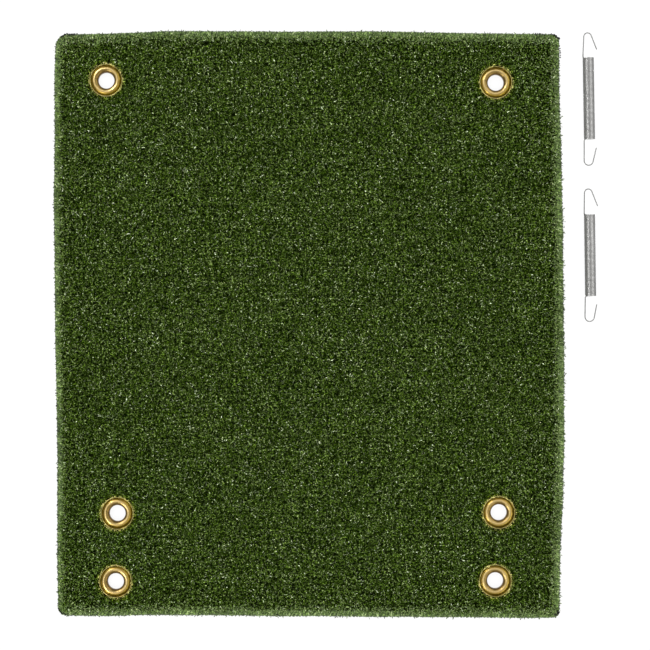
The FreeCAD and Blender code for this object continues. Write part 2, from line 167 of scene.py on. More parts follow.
def outline_loop(inset, step=3.0):
    """The whole outline pulled in by inset, anticlockwise, already warped."""
    loop = []
    for side in ("right", "back", "left", "front"):
        p, n, _ = edge_run(side, step)
        q = p - n * inset
        loop += list(q[:-1])
    loop = warp(np.array(loop))
    keep = np.linalg.norm(np.roll(loop, -1, 0) - loop, axis=1) > 0.02
    return loop[keep]


def circle(centre, r, n=56):
    a = np.arange(n) * TAU / n
    return np.stack([centre[0] + r * np.cos(a), centre[1] + r * np.sin(a)], 1)


# Grommet centres, read from the CAD nodes.
NAMES = ("back_left", "back_right", "mid_left", "mid_right", "front_left", "front_right")
CENTRES = {}
for name in NAMES:
    lo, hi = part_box("grommet_" + name)
    CENTRES[name] = np.array([(lo.x + hi.x) / 2, (lo.y + hi.y) / 2]) / MM
CENTRE_LIST = np.array([CENTRES[n] for n in NAMES])


def near_grommet(xy):
    """Distance to the nearest grommet's centre, and which one it is."""
    d = np.linalg.norm(xy[..., None, :] - CENTRE_LIST, axis=-1)
    return d.min(-1), d.argmin(-1)


def inset_of(p):
    """How far points of the true rectangle lie inside its outline."""
    return np.minimum(HALF_W - np.abs(p[..., 0]), HALF_D - np.abs(p[..., 1]))


# ------------------------------------------------------------- mesh helpers
def mesh(name, verts, faces, attrs=None, smooth=True, tags=None, mats=()):
    """A mesh object from millimetre points. faces is an array of quads or
    triangles, or a list of both; tags is a material index for each face."""
    if isinstance(faces, np.ndarray):
        faces = [faces]
    sizes = np.concatenate([np.full(len(f), f.shape[1]) for f in faces]).astype(np.int32)
    loops = np.concatenate([f.ravel() for f in faces]).astype(np.int32)
    starts = np.concatenate([[0], np.cumsum(sizes)[:-1]]).astype(np.int32)
    me = bpy.data.meshes.new(name)
    me.vertices.add(len(verts))
    me.vertices.foreach_set("co", (np.asarray(verts) * MM).astype(np.float32).ravel())
    me.loops.add(len(loops))
    me.loops.foreach_set("vertex_index", loops)
    me.polygons.add(len(sizes))
    me.polygons.foreach_set("loop_start", starts)
    me.polygons.foreach_set("loop_total", sizes)
    me.polygons.foreach_set("use_smooth", np.full(len(sizes), smooth))
    for m in mats:
        me.materials.append(m)
    if tags is not None:
        me.polygons.foreach_set("material_index", np.asarray(tags, np.int32))
    me.update(calc_edges=True)
    for key, values in (attrs or {}).items():
        a = me.attributes.new(key, "FLOAT", "POINT")
        a.data.foreach_set("value", np.asarray(values, np.float32).ravel())
    me.validate()
    obj = bpy.data.objects.new(name, me)
    bpy.context.scene.collection.objects.link(obj)
    return obj


class Soup:
    """Collects parts of one mesh."""

    def __init__(self):
        self.v, self.f, self.t, self.a, self.n = [], [], [], {}, 0

    def add(self, verts, faces, tag=0, **attrs):
        faces = faces if isinstance(faces, list) else [faces]
        for f in faces:
            self.f.append(np.asarray(f) + self.n)
            self.t.append(np.full(len(f), tag))
        verts = np.asarray(verts, float).reshape(-1, 3)
        for key in set(attrs) | set(self.a):
            if key not in self.a:
                self.a[key] = [np.zeros(self.n)]
            value = attrs.get(key, 0.0)
            self.a[key].append(
                np.broadcast_to(np.asarray(value, float).ravel() if np.ndim(value) else value,
                                (len(verts),)).astype(float)
            )
        self.v.append(verts)
        self.n += len(verts)

    def build(self, name, *mats, smooth=True):
        attrs = {k: np.concatenate(v) for k, v in self.a.items()}
        return mesh(name, np.concatenate(self.v), self.f, attrs, smooth,
                    np.concatenate(self.t), mats)


def strip_faces(n, rows, cols, closed=False):
    """Quads for n copies of a rows x cols grid of vertices."""
    r = np.arange(rows - 1)
    c = np.arange(cols if closed else cols - 1)
    rr, cc = np.meshgrid(r, c, indexing="ij")
    nxt = (cc + 1) % cols
    quad = np.stack([rr * cols + cc, rr * cols + nxt, (rr + 1) * cols + nxt,
                     (rr + 1) * cols + cc], -1).reshape(-1, 4)
    return (quad[None] + (np.arange(n) * rows * cols)[:, None, None]).reshape(-1, 4)


def weld(obj, dist=0.00001, smooth_angle=None):
    bm = bmesh.new()
    bm.from_mesh(obj.data)
    bmesh.ops.remove_doubles(bm, verts=bm.verts, dist=dist)
    bmesh.ops.dissolve_degenerate(bm, edges=bm.edges, dist=1e-7)
    bmesh.ops.recalc_face_normals(bm, faces=bm.faces)
    bm.to_mesh(obj.data)
    bm.free()
    if smooth_angle is not None:
        obj.data.set_sharp_from_angle(angle=math.radians(smooth_angle))
    return obj


def flat_region(loop, holes, inner):
    """Triangles of the area inside loop and outside the holes, using the
    inner points as extra corners."""
    verts = [Vector(p) for p in loop]
    edges = [(i, (i + 1) % len(loop)) for i in range(len(loop))]
    for h in holes:
        base = len(verts)
        verts += [Vector(p) for p in h]
        edges += [(base + i, base + (i + 1) % len(h)) for i in range(len(h))]
    verts += [Vector(p) for p in inner]
    v, _, f, _, _, _ = delaunay_2d_cdt(verts, edges, [], 1, 1e-5)
    v, f = np.array([(p.x, p.y) for p in v]), np.array(f, int)
    middle = v[f].mean(1)
    open_ = np.ones(len(f), bool)
    for h in holes:
        c = h.mean(0)
        open_ &= np.linalg.norm(middle - c, axis=1) > np.linalg.norm(h[0] - c) * 0.9985
    return v, f[open_]


def slab(soup, v, f, top, bottom):
    """A closed solid over a triangulated area, between two heights."""
    n = len(v)
    top, bottom = np.broadcast_to(top, (n,)), np.broadcast_to(bottom, (n,))
    a, b, c = v[f[:, 0]], v[f[:, 1]], v[f[:, 2]]
    turn = (b[:, 0] - a[:, 0]) * (c[:, 1] - a[:, 1]) - (b[:, 1] - a[:, 1]) * (c[:, 0] - a[:, 0])
    f = np.where((turn > 0)[:, None], f, f[:, ::-1])
    e = np.concatenate([f[:, [0, 1]], f[:, [1, 2]], f[:, [2, 0]]])
    key = np.sort(e, 1)
    _, first, count = np.unique(key[:, 0] * n + key[:, 1], return_index=True, return_counts=True)
    rim = e[first[count == 1]]
    verts = np.concatenate([np.column_stack([v, top]), np.column_stack([v, bottom])])
    walls = np.stack([rim[:, 1], rim[:, 0], rim[:, 0] + n, rim[:, 1] + n], 1)
    soup.add(verts, [f, f[:, ::-1] + n, walls])


# ---------------------------------------------------------------- materials
def ramp(nt, fac, stops, interpolation="LINEAR"):
    node = nt.nodes.new("ShaderNodeValToRGB")
    node.color_ramp.interpolation = interpolation
    els = node.color_ramp.elements
    while len(els) > 1:
        els.remove(els[-1])
    els[0].position, els[0].color = stops[0][0], (*stops[0][1], 1)
    for at, colour in stops[1:]:
        e = els.new(at)
        e.color = (*colour, 1)
    nt.links.new(fac, node.inputs[0])
    return node.outputs[0]


def grey(a):
    return (a, a, a)


def maths(nt, op, a, b=None, clamp=False):
    node = nt.nodes.new("ShaderNodeMath")
    node.operation, node.use_clamp = op, clamp
    for i, x in enumerate((a, b)):
        if x is None:
            continue
        if isinstance(x, (int, float)):
            node.inputs[i].default_value = x
        else:
            nt.links.new(x, node.inputs[i])
    return node.outputs[0]


def spread(nt, value, a, b, c=0.0, d=1.0):
    node = nt.nodes.new("ShaderNodeMapRange")
    nt.links.new(value, node.inputs[0])
    for i, x in zip((1, 2, 3, 4), (a, b, c, d)):
        node.inputs[i].default_value = x
    return node.outputs[0]


def blend_colour(nt, fac, a, b, mode="MIX"):
    node = nt.nodes.new("ShaderNodeMix")
    node.data_type, node.blend_type = "RGBA", mode
    for socket, x in ((node.inputs[0], fac), (node.inputs[6], a), (node.inputs[7], b)):
        if isinstance(x, (int, float)):
            socket.default_value = x
        elif isinstance(x, tuple):
            socket.default_value = (*x, 1)
        else:
            nt.links.new(x, socket)
    return node.outputs[2]


def noise(nt, vector, scale, detail=2.0, rough=0.5, distortion=0.0):
    node = nt.nodes.new("ShaderNodeTexNoise")
    node.inputs["Scale"].default_value = scale
    node.inputs["Detail"].default_value = detail
    node.inputs["Roughness"].default_value = rough
    node.inputs["Distortion"].default_value = distortion
    nt.links.new(vector, node.inputs["Vector"])
    return node.outputs["Fac"]


def stretch(nt, vector, scale, offset=(0, 0, 0), turn=(0, 0, 0)):
    node = nt.nodes.new("ShaderNodeMapping")
    node.inputs["Location"].default_value = offset
    node.inputs["Rotation"].default_value = turn
    node.inputs["Scale"].default_value = scale
    nt.links.new(vector, node.inputs["Vector"])
    return node.outputs[0]


def attribute(nt, name):
    node = nt.nodes.new("ShaderNodeAttribute")
    node.attribute_name = name
    return node.outputs["Fac"]


def bump(nt, height, strength, distance, into):
    node = nt.nodes.new("ShaderNodeBump")
    node.inputs["Strength"].default_value = strength
    node.inputs["Distance"].default_value = distance
    nt.links.new(height, node.inputs["Height"])
    nt.links.new(node.outputs[0], into)


def material(name):
    m = bpy.data.materials.new(name)
    m.use_nodes = True
    nt = m.node_tree
    shader = nt.nodes["Principled BSDF"]
    where = nt.nodes.new("ShaderNodeTexCoord").outputs["Object"]
    return m, nt, shader, where


GREEN = 1.215


def green(r, g, b):
    return (r * GREEN, g * GREEN * 1.155, b * GREEN * 0.92)


def turf_material():
    """Curly nylon yarn: mixed greens and a few pale fibres, with painted shade towards the root and between
    the tuft rows, painted glints in small specks, a painted yellow and pale gold glow round the brass rings,
    and the fine ribs of an extruded ribbon."""
    m, nt, s, where = material("turf_nylon")
    shade, tip = attribute(nt, "shade"), attribute(nt, "tip")
    base = ramp(nt, shade, [
        (0.00, green(0.013, 0.027, 0.001)),
        (0.22, green(0.025, 0.048, 0.001)),
        (0.45, green(0.046, 0.076, 0.007)),
        (0.62, green(0.064, 0.088, 0.019)),
        (0.78, green(0.088, 0.110, 0.036)),
        (0.90, green(0.145, 0.166, 0.072)),
        (0.96, green(0.215, 0.236, 0.142)),
        (1.00, green(0.310, 0.335, 0.215)),
    ])
    patches = spread(nt, noise(nt, where, 26.0, 3.0, 0.6), 0.3, 0.7, 0.88, 1.11)
    cool = spread(nt, noise(nt, where, 75.0, 2.0, 0.5), 0.36, 0.66, 0.06, 0.22)
    tinted = blend_colour(nt, cool, base, green(0.050, 0.074, 0.016))
    flecks = spread(nt, noise(nt, where, 720.0, 0.0), 0.655, 0.76, 0.0, 0.62)
    tinted = blend_colour(nt, flecks, tinted, green(0.235, 0.255, 0.130))
    # painted glow round the rings: the yarn there is tinted yellow, and the tips nearest the flange pale
    # gold, as if lit by light off the brass
    painted_brass_glow = attribute(nt, "painted_brass_glow")
    tinted = blend_colour(nt, spread(nt, painted_brass_glow, 0.0, 0.55, 0.0, 0.50), tinted,
                          green(0.078, 0.104, 0.002))
    tinted = blend_colour(nt, spread(nt, painted_brass_glow, 0.62, 0.84, 0.0, 0.80), tinted,
                          green(0.430, 0.375, 0.120))
    # painted shade: the ribbons darken towards the root, down in the pile
    root = spread(nt, tip, 0.06, 0.66, 0.44, 0.97)
    # painted glints and shade: small lighter and darker specks along the ribbons
    fine = maths(nt, "MULTIPLY",
                 spread(nt, noise(nt, where, 650.0, 0.0), 0.31, 0.69, 0.0, 2.0),
                 spread(nt, noise(nt, where, 980.0, 0.0), 0.30, 0.70, 0.24, 1.78))
    # painted shade between the tuft rows: the tufts stand in rows both ways, a little askew, and the colour
    # darkens between them
    apart = nt.nodes.new("ShaderNodeSeparateXYZ")
    nt.links.new(where, apart.inputs[0])
    row_x = maths(nt, "COSINE", maths(
        nt, "ADD", maths(nt, "MULTIPLY", apart.outputs["X"], 214.1 * TAU),
        maths(nt, "MULTIPLY", apart.outputs["Y"], 4.86 * TAU)))
    row_y = maths(nt, "COSINE", maths(nt, "MULTIPLY", apart.outputs["Y"], 198.8 * TAU))
    rows = maths(nt, "ADD", maths(nt, "MULTIPLY", row_x, 0.13),
                 maths(nt, "ADD", maths(nt, "MULTIPLY", row_y, 0.055), 1.0))
    k = maths(nt, "MULTIPLY", maths(nt, "MULTIPLY", patches, root),
              maths(nt, "MULTIPLY", fine, rows))
    # lit fibres are greyer and those in shade a deeper green
    tints = []
    for gain in ((0.90, 1.18, 0.50), (1.03, 0.905, 1.34)):
        tint = nt.nodes.new("ShaderNodeVectorMath")
        tint.operation = "MULTIPLY"
        nt.links.new(tinted, tint.inputs[0])
        tint.inputs[1].default_value = gain
        tints.append(tint.outputs[0])
    mixed = nt.nodes.new("ShaderNodeMix")
    mixed.data_type = "VECTOR"
    nt.links.new(spread(nt, k, 0.15, 1.45, 0.0, 1.0), mixed.inputs[0])
    nt.links.new(tints[0], mixed.inputs[4])
    nt.links.new(tints[1], mixed.inputs[5])
    scaled = nt.nodes.new("ShaderNodeVectorMath")
    scaled.operation = "SCALE"
    nt.links.new(mixed.outputs[1], scaled.inputs[0])
    nt.links.new(k, scaled.inputs["Scale"])
    nt.links.new(scaled.outputs[0], s.inputs["Base Color"])
    nt.links.new(spread(nt, noise(nt, where, 420.0, 1.0), 0.3, 0.7, 0.42, 0.62),
                 s.inputs["Roughness"])
    s.inputs["Specular IOR Level"].default_value = 0.012
    ribs = noise(nt, where, 2600.0, 1.0)
    bump(nt, ribs, 0.35, 0.0002, s.inputs["Normal"])
    return m


def thatch_material():
    """The dark matted floor of the pile, with stitch rows."""
    m, nt, s, where = material("pile_floor")
    clump = noise(nt, where, 420.0, 4.0, 0.65)
    rows = nt.nodes.new("ShaderNodeTexWave")
    rows.wave_type, rows.bands_direction = "BANDS", "X"
    rows.inputs["Scale"].default_value = 1000.0 / 4.67 / 20.0 * TAU / TAU
    rows.inputs["Distortion"].default_value = 2.0
    nt.links.new(where, rows.inputs["Vector"])
    base = ramp(nt, clump, [(0.25, (0.004, 0.007, 0.0005)), (0.55, (0.014, 0.025, 0.001)),
                            (0.85, (0.030, 0.048, 0.003))])
    mixed = blend_colour(nt, maths(nt, "MULTIPLY", rows.outputs["Fac"], 0.4), base,
                         (0.008, 0.011, 0.002))
    nt.links.new(mixed, s.inputs["Base Color"])
    s.inputs["Roughness"].default_value = 0.95
    s.inputs["Specular IOR Level"].default_value = 0.05
    bump(nt, clump, 0.8, 0.0008, s.inputs["Normal"])
    return m


def yarn_material(name, stops, dark=1.0):
    """Overlock yarn: many fine filaments along each strand, fuzzy, with a slow change of tone along the
    edge, and painted shade in the creases between strands and over the outer round of the edge."""
    m, nt, s, where = material(name)
    shade, across = attribute(nt, "shade"), attribute(nt, "across")
    base = ramp(nt, shade, stops)
    slow = spread(nt, noise(nt, where, 38.0, 3.0, 0.6), 0.3, 0.7, 0.80 * dark, 1.18 * dark)
    fil = noise(nt, where, 2200.0, 3.0, 0.6)
    fine = spread(nt, fil, 0.3, 0.7, 0.70, 1.22)
    # painted shade: darker at the sides of each strand, in the creases between them, and over the outer
    # round
    crease = spread(nt, across, 0.0, 0.7, 0.42, 1.15)
    loops = spread(nt, noise(nt, where, 520.0, 0.0), 0.30, 0.70, 0.74, 1.50)
    k = maths(nt, "MULTIPLY", maths(nt, "MULTIPLY", slow, fine), crease)
    k = maths(nt, "MULTIPLY", k, loops)
    k = maths(nt, "MULTIPLY", k, spread(nt, noise(nt, where, 900.0, 0.0), 0.30, 0.70, 0.62, 1.40))
    scaled = nt.nodes.new("ShaderNodeVectorMath")
    scaled.operation = "SCALE"
    nt.links.new(base, scaled.inputs[0])
    nt.links.new(k, scaled.inputs["Scale"])
    nt.links.new(scaled.outputs[0], s.inputs["Base Color"])
    nt.links.new(spread(nt, fil, 0.3, 0.7, 0.58, 0.8), s.inputs["Roughness"])
    s.inputs["Specular IOR Level"].default_value = 0.35
    s.inputs["Sheen Weight"].default_value = 0.15
    s.inputs["Sheen Roughness"].default_value = 0.5
    bump(nt, fil, 0.7, 0.0003, s.inputs["Normal"])
    return m


def tape_material(name="woven_tape", dark=1.0):
    """Woven black polypropylene tape, 1.1 mm wide both ways."""
    m, nt, s, where = material(name)
    def wave(axis, scale):
        w = nt.nodes.new("ShaderNodeTexWave")
        w.wave_type, w.bands_direction = "BANDS", axis
        w.inputs["Scale"].default_value = scale
        w.inputs["Distortion"].default_value = 0.6
        w.inputs["Detail"].default_value = 1.0
        nt.links.new(where, w.inputs["Vector"])
        return w.outputs["Fac"]
    a, b = wave("X", 143.0), wave("Y", 143.0)
    weave = maths(nt, "MULTIPLY", a, b)
    grit = noise(nt, where, 1500.0, 3.0, 0.6)
    base = ramp(nt, weave, [(0.0, (0.006 * dark, 0.006 * dark, 0.006 * dark)),
                            (0.5, (0.016 * dark, 0.018 * dark, 0.014 * dark)),
                            (1.0, (0.040 * dark, 0.044 * dark, 0.036 * dark))])
    worn = blend_colour(nt, maths(nt, "MULTIPLY", grit, 0.3), base,
                        (0.05 * dark, 0.052 * dark, 0.048 * dark))
    nt.links.new(worn, s.inputs["Base Color"])
    nt.links.new(spread(nt, grit, 0.3, 0.7, 0.45, 0.7), s.inputs["Roughness"])
    s.inputs["Specular IOR Level"].default_value = 0.4 * dark
    bump(nt, weave, 0.8, 0.0004, s.inputs["Normal"])
    return m


def rubber_material():
    """Matt black foamed rubber: closed cells, a little dust in the hollows
    and scuffed, slightly polished nub tops."""
    m, nt, s, where = material("foam_rubber")
    cells = nt.nodes.new("ShaderNodeTexVoronoi")
    cells.inputs["Scale"].default_value = 900.0
    nt.links.new(where, cells.inputs["Vector"])
    pores = cells.outputs["Distance"]
    dust = noise(nt, where, 45.0, 4.0, 0.62)
    scuff = noise(nt, stretch(nt, where, (1.0, 0.25, 1.0), turn=(0, 0, 0.5)), 700.0, 3.0)
    base = ramp(nt, dust, [(0.30, (0.010, 0.010, 0.0095)), (0.55, (0.018, 0.018, 0.017)),
                           (0.80, (0.034, 0.033, 0.030))])
    split = nt.nodes.new("ShaderNodeSeparateXYZ")
    nt.links.new(where, split.inputs[0])
    low = spread(nt, split.outputs["Z"], 0.00005, 0.00035, 1.0, 0.0)
    worn = blend_colour(nt, maths(nt, "MULTIPLY", low, maths(nt, "MULTIPLY", scuff, 0.9)),
                        base, (0.060, 0.059, 0.056))
    nt.links.new(worn, s.inputs["Base Color"])
    nt.links.new(spread(nt, scuff, 0.3, 0.7, 0.62, 0.85), s.inputs["Roughness"])
    s.inputs["Specular IOR Level"].default_value = 0.3
    bump(nt, maths(nt, "ADD", pores, maths(nt, "MULTIPLY", scuff, 0.5)), 0.5, 0.0002,
         s.inputs["Normal"])
    return m


# colour of the brass by radius in millimetres: its own tone, with a painted highlight on the crest near 11.6
# and on the outer bead, and painted shade with the tarnish down the throat and in the groove near 14.5 to
# 15.1
BRASS_TONE_AND_PAINTED_LIGHT = [((r_ - 7.8) / 8.8, c_) for r_, c_ in [
    (7.80, (0.130, 0.082, 0.028)),
    (8.30, (0.150, 0.098, 0.031)),
    (9.20, (0.128, 0.084, 0.022)),
    (10.00, (0.170, 0.118, 0.037)),
    (10.70, (0.350, 0.245, 0.088)),
    (11.20, (0.600, 0.450, 0.180)),
    (11.60, (0.680, 0.520, 0.230)),
    (12.00, (0.540, 0.395, 0.148)),
    (12.60, (0.345, 0.238, 0.066)),
    (13.40, (0.310, 0.215, 0.042)),
    (14.00, (0.215, 0.145, 0.013)),
    (14.50, (0.066, 0.040, 0.001)),
    (15.10, (0.034, 0.022, 0.001)),
    (15.50, (0.125, 0.100, 0.018)),
    (15.95, (0.540, 0.470, 0.175)),
    (16.60, (0.900, 0.800, 0.370)),
]]


def brass_material(name, centre):
    """Polished brass, coloured by radius: painted shade with tarnish in the rolled groove and down the
    throat, a painted highlight on the crest, set a little off the bore's centre, and on the outer bead;
    patchy tarnish stains and fine turning marks round the ring."""
    m, nt, s, where = material("brass_" + name)
    local = stretch(nt, where, (1, 1, 1), (-centre[0] * MM, -centre[1] * MM, 0))
    flat = nt.nodes.new("ShaderNodeVectorMath")
    flat.operation = "MULTIPLY"
    flat.inputs[1].default_value = (1, 1, 0)
    nt.links.new(local, flat.inputs[0])
    length = nt.nodes.new("ShaderNodeVectorMath")
    length.operation = "LENGTH"
    nt.links.new(flat.outputs[0], length.inputs[0])
    r = length.outputs["Value"]
    # painted highlight: the bright band on the crest is set a little off the bore's centre
    painted_highlight_shift = nt.nodes.new("ShaderNodeVectorMath")
    painted_highlight_shift.operation = "ADD"
    painted_highlight_shift.inputs[1].default_value = (0.00055, -0.00045, 0)
    nt.links.new(flat.outputs[0], painted_highlight_shift.inputs[0])
    length_2 = nt.nodes.new("ShaderNodeVectorMath")
    length_2.operation = "LENGTH"
    nt.links.new(painted_highlight_shift.outputs[0], length_2.inputs[0])
    share = maths(nt, "MULTIPLY", spread(nt, r, 0.0084, 0.0098), spread(nt, r, 0.0148, 0.0130))
    # the radius used for colour, moved towards the painted highlight's centre on the crest
    worn = maths(nt, "ADD", r, maths(nt, "MULTIPLY", share, maths(
        nt, "SUBTRACT", length_2.outputs["Value"], r)))
    stain = noise(nt, local, 260.0, 4.0, 0.6)
    wobble = maths(nt, "ADD", worn,
                   maths(nt, "MULTIPLY", maths(nt, "SUBTRACT", stain, 0.5), 0.0006))
    by_r = spread(nt, wobble, 0.0078, 0.0166)
    base = ramp(nt, by_r, BRASS_TONE_AND_PAINTED_LIGHT)
    aged = blend_colour(nt, spread(nt, stain, 0.50, 0.78, 0.0, 0.55), base,
                        (0.36, 0.20, 0.055))
    nt.links.new(aged, s.inputs["Base Color"])
    s.inputs["Metallic"].default_value = 1.0
    turned = noise(nt, maths_vector(nt, r, 9000.0), 1.0, 2.0)
    scratch = noise(nt, stretch(nt, local, (1, 9, 1), turn=(0, 0, 0.7)), 700.0, 3.0)
    nt.links.new(spread(nt, stain, 0.3, 0.75, 0.25, 0.42), s.inputs["Roughness"])
    bump(nt, maths(nt, "ADD", turned, maths(nt, "MULTIPLY", scratch, 0.6)), 0.10, 0.00012,
         s.inputs["Normal"])
    return m


def maths_vector(nt, value, k):
    node = nt.nodes.new("ShaderNodeCombineXYZ")
    nt.links.new(maths(nt, "MULTIPLY", value, k), node.inputs[0])
    return node.outputs[0]


def washer_material():
    """Stamped brass washer, dull, with rolling lines and dark handling spots."""
    m, nt, s, where = material("brass_washer")
    lines = noise(nt, stretch(nt, where, (1, 18, 1), turn=(0, 0, 0.3)), 520.0, 3.0, 0.6)
    spots = noise(nt, where, 210.0, 4.0, 0.65)
    base = ramp(nt, spots, [(0.30, (0.68, 0.48, 0.20)), (0.55, (0.58, 0.39, 0.15)),
                            (0.75, (0.30, 0.18, 0.06))])
    nt.links.new(base, s.inputs["Base Color"])
    s.inputs["Metallic"].default_value = 1.0
    nt.links.new(spread(nt, lines, 0.3, 0.7, 0.30, 0.52), s.inputs["Roughness"])
    bump(nt, lines, 0.15, 0.0001, s.inputs["Normal"])
    return m


def wire_material(name, k):
    """Zinc-plated drawn wire: faintly mottled grey, with drawing lines. k scales the colour: the hooks get a
    darker copy, painted shade."""
    m, nt, s, where = material(name)
    mottled = noise(nt, where, 900.0, 3.0, 0.6)
    drawn = noise(nt, stretch(nt, where, (1, 0.12, 1)), 4200.0, 2.0)
    base = ramp(nt, mottled, [(0.28, (0.32 * k, 0.319 * k, 0.312 * k)),
                              (0.50, (0.35 * k, 0.348 * k, 0.341 * k)),
                              (0.75, (0.39 * k, 0.387 * k, 0.379 * k))])
    nt.links.new(base, s.inputs["Base Color"])
    s.inputs["Metallic"].default_value = 1.0
    s.inputs["Specular Tint"].default_value = (0.05, 0.05, 0.05, 1)
    nt.links.new(spread(nt, mottled, 0.3, 0.7, 0.35, 0.40), s.inputs["Roughness"])
    bump(nt, drawn, 0.06, 0.00006, s.inputs["Normal"])
    return m


TURF = turf_material()
THATCH = thatch_material()
YARN_STOPS = [
    (0.00, (0.032, 0.065, 0.006)),
    (0.35, (0.077, 0.129, 0.022)),
    (0.65, (0.127, 0.194, 0.051)),
    (0.88, (0.174, 0.247, 0.081)),
    (1.00, (0.335, 0.410, 0.188)),
]
YARN = yarn_material("overlock_yarn", YARN_STOPS)
KNOT = yarn_material("knot_yarn", [(0.0, (0.010, 0.020, 0.006)), (0.6, (0.024, 0.042, 0.014)),
                                   (1.0, (0.055, 0.085, 0.030))])
TAPE = tape_material()
RAW = tape_material("frayed_backing", 0.35)
RUBBER = rubber_material()
WIRE = wire_material("zinc_wire", 1.0)
# a darker copy of the zinc wire for the hooks, painted shade
HOOK_WIRE_PAINTED_SHADE = wire_material("zinc_wire_hook_painted_shade", 0.72)
WASHER = washer_material()


def give(obj, *materials):
    obj.data.materials.clear()
    for m in materials:
        obj.data.materials.append(m)


def give_node(node, m):
    obj = NODES[node]
    if not obj.material_slots:
        obj.data.materials.append(m)
    for slot in obj.material_slots:
        slot.material = m


for name in NAMES:
    give_node("grommet_" + name, brass_material(name, CENTRES[name]))
    give_node("washer_" + name, WASHER)
for n in (1, 2):
    for end in ("fixed", "moving"):
        give_node("spring_%d_%s_hook" % (n, end), HOOK_WIRE_PAINTED_SHADE)

# ------------------------------------------------------------------ base mat
SEAT, BARREL = 14.45, 8.8
rng = np.random.default_rng(2041)


def base_piece():
    """The rubber sheet with its foot, washer seats and barrel holes, and the
    moulded nubs it stands on."""
    lip, foot = outline_loop(1.2), outline_loop(5.5)
    count = len(lip)
    if len(foot) != count:
        raise RuntimeError("the two outlines differ")
    seats = [circle(c, SEAT) for c in CENTRE_LIST]
    bores = [circle(c, BARREL) for c in CENTRE_LIST]
    z_low = 0.42
    soup = Soup()
    v, f = flat_region(lip, bores, [])
    soup.add(np.column_stack([v, np.full(len(v), 2.4)]), f)
    v, f = flat_region(foot, seats, [])
    soup.add(np.column_stack([v, np.full(len(v), z_low)]), f)

    def wall(a, za, b, zb):
        n = len(a)
        verts = np.concatenate([np.column_stack([a, np.full(n, za)]),
                                np.column_stack([b, np.full(n, zb)])])
        soup.add(verts, strip_faces(1, 2, n, closed=True))

    wall(lip, 2.4, lip, 1.2)
    wall(lip, 1.2, foot, 1.2)
    wall(foot, 1.2, foot, z_low)
    for s_, b_ in zip(seats, bores):
        wall(b_, 2.4, b_, 1.95)
        wall(b_, 1.95, s_, 1.95)
        wall(s_, 1.95, s_, z_low)
    body = soup.build("secondary_backing_sheet")
    weld(body, smooth_angle=30)
    # nubs: rounded square pads on a staggered grid
    pitch = 7.8
    xs = np.arange(-HALF_W + 11, HALF_W - 10.9, pitch)
    ys = np.arange(-HALF_D + 11, HALF_D - 10.9, pitch)
    gx, gy = np.meshgrid(xs, ys)
    gx = gx + (np.arange(len(ys)) % 2)[:, None] * pitch / 2
    at = warp(np.stack([gx.ravel(), gy.ravel()], 1))
    dist, _ = near_grommet(at)
    inside = (dist > SEAT + 3.4) & (gx.ravel() < HALF_W - 9.5)
    at = at[inside]
    rings = [(2.70, 0.46), (2.42, 0.14), (1.75, 0.02)]
    n = 8
    a = (np.arange(n) + 0.5) * TAU / n
    shape = 1.0 / (np.abs(np.cos(a)) ** 4 + np.abs(np.sin(a)) ** 4) ** 0.25
    ring = np.stack([np.cos(a) * shape, np.sin(a) * shape], 1)
    cols = []
    for r, z in rings:
        p = at[:, None, :] + ring[None] * r
        cols.append(np.concatenate([p, np.full((len(at), n, 1), z)], -1))
    v = np.stack(cols, 1).reshape(-1, 3)
    quads = strip_faces(len(at), len(rings), n, closed=True)
    base = (np.arange(len(at)) * len(rings) * n + (len(rings) - 1) * n)[:, None]
    caps = base + np.arange(n)[None]
    nub = Soup()
    nub.add(v, [quads, caps])
    nubs = nub.build("secondary_backing_nubs")
    for o in (body, nubs):
        give(o, RUBBER)
        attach(o, "mat")
        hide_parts("secondary_backing")
    return body


def primary_piece(base):
    """The woven backing that the tufts are stitched through."""
    loop = outline_loop(1.2)
    bores = [circle(c, BARREL) for c in CENTRE_LIST]
    xs, ys = np.meshgrid(np.arange(-244, 245, 11.0), np.arange(-282, 283, 11.0))
    at = warp(np.stack([xs.ravel(), ys.ravel()], 1))
    dist, _ = near_grommet(at)
    at = at[dist > BARREL + 2]
    v, f = flat_region(loop, bores, at)
    soup = Soup()
    slab(soup, v, f, 2.98, 2.42)
    obj = soup.build("primary_backing_cloth")
    weld(obj, smooth_angle=30)
    give(obj, TAPE)
    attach(obj, "mat")
    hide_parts("primary_backing")
    return obj


def thatch_piece():
    """The matted floor of the pile that shows as the dark between tufts. It
    rises under each grommet's flange, where the pile is pressed down."""
    loop, rim = outline_loop(1.4), outline_loop(5.8)
    holes = [circle(c, 9.4) for c in CENTRE_LIST]
    r = np.random.default_rng(77)
    xs, ys = np.meshgrid(np.arange(-246.5, 247, 4.2), np.arange(-284.5, 285, 4.2))
    at = np.stack([xs.ravel(), ys.ravel()], 1) + r.uniform(-1.1, 1.1, (xs.size, 2))
    at = warp(at)
    dist, _ = near_grommet(at)
    at = at[dist > 12.0]
    rings = np.concatenate([circle(c, q, 40) for c in CENTRE_LIST for q in (11.0, 16.3, 17.6)])
    inner = np.concatenate([at[near_grommet(at)[0] > 18.4], rings, rim])
    v, f = flat_region(loop, holes, inner)
    dist, _ = near_grommet(v)
    z = 4.35 + r.uniform(-0.25, 0.55, len(v))
    z = np.where(dist < 16.9, 5.62, z)
    # the margin goes under the binding's leg
    d = np.min(np.linalg.norm(v[:, None, :] - outline_loop(5.5, 6.0)[None], axis=-1), axis=1)
    margin = (d < 5.5) & (inset_of(v) < 7.5) & (dist > 18)
    z[margin] = 4.25
    soup = Soup()
    slab(soup, v, f, z, 3.0)
    obj = soup.build("turf_pile_floor")
    weld(obj)
    give(obj, THATCH)
    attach(obj, "mat")
    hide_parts("turf_pile")
    return obj


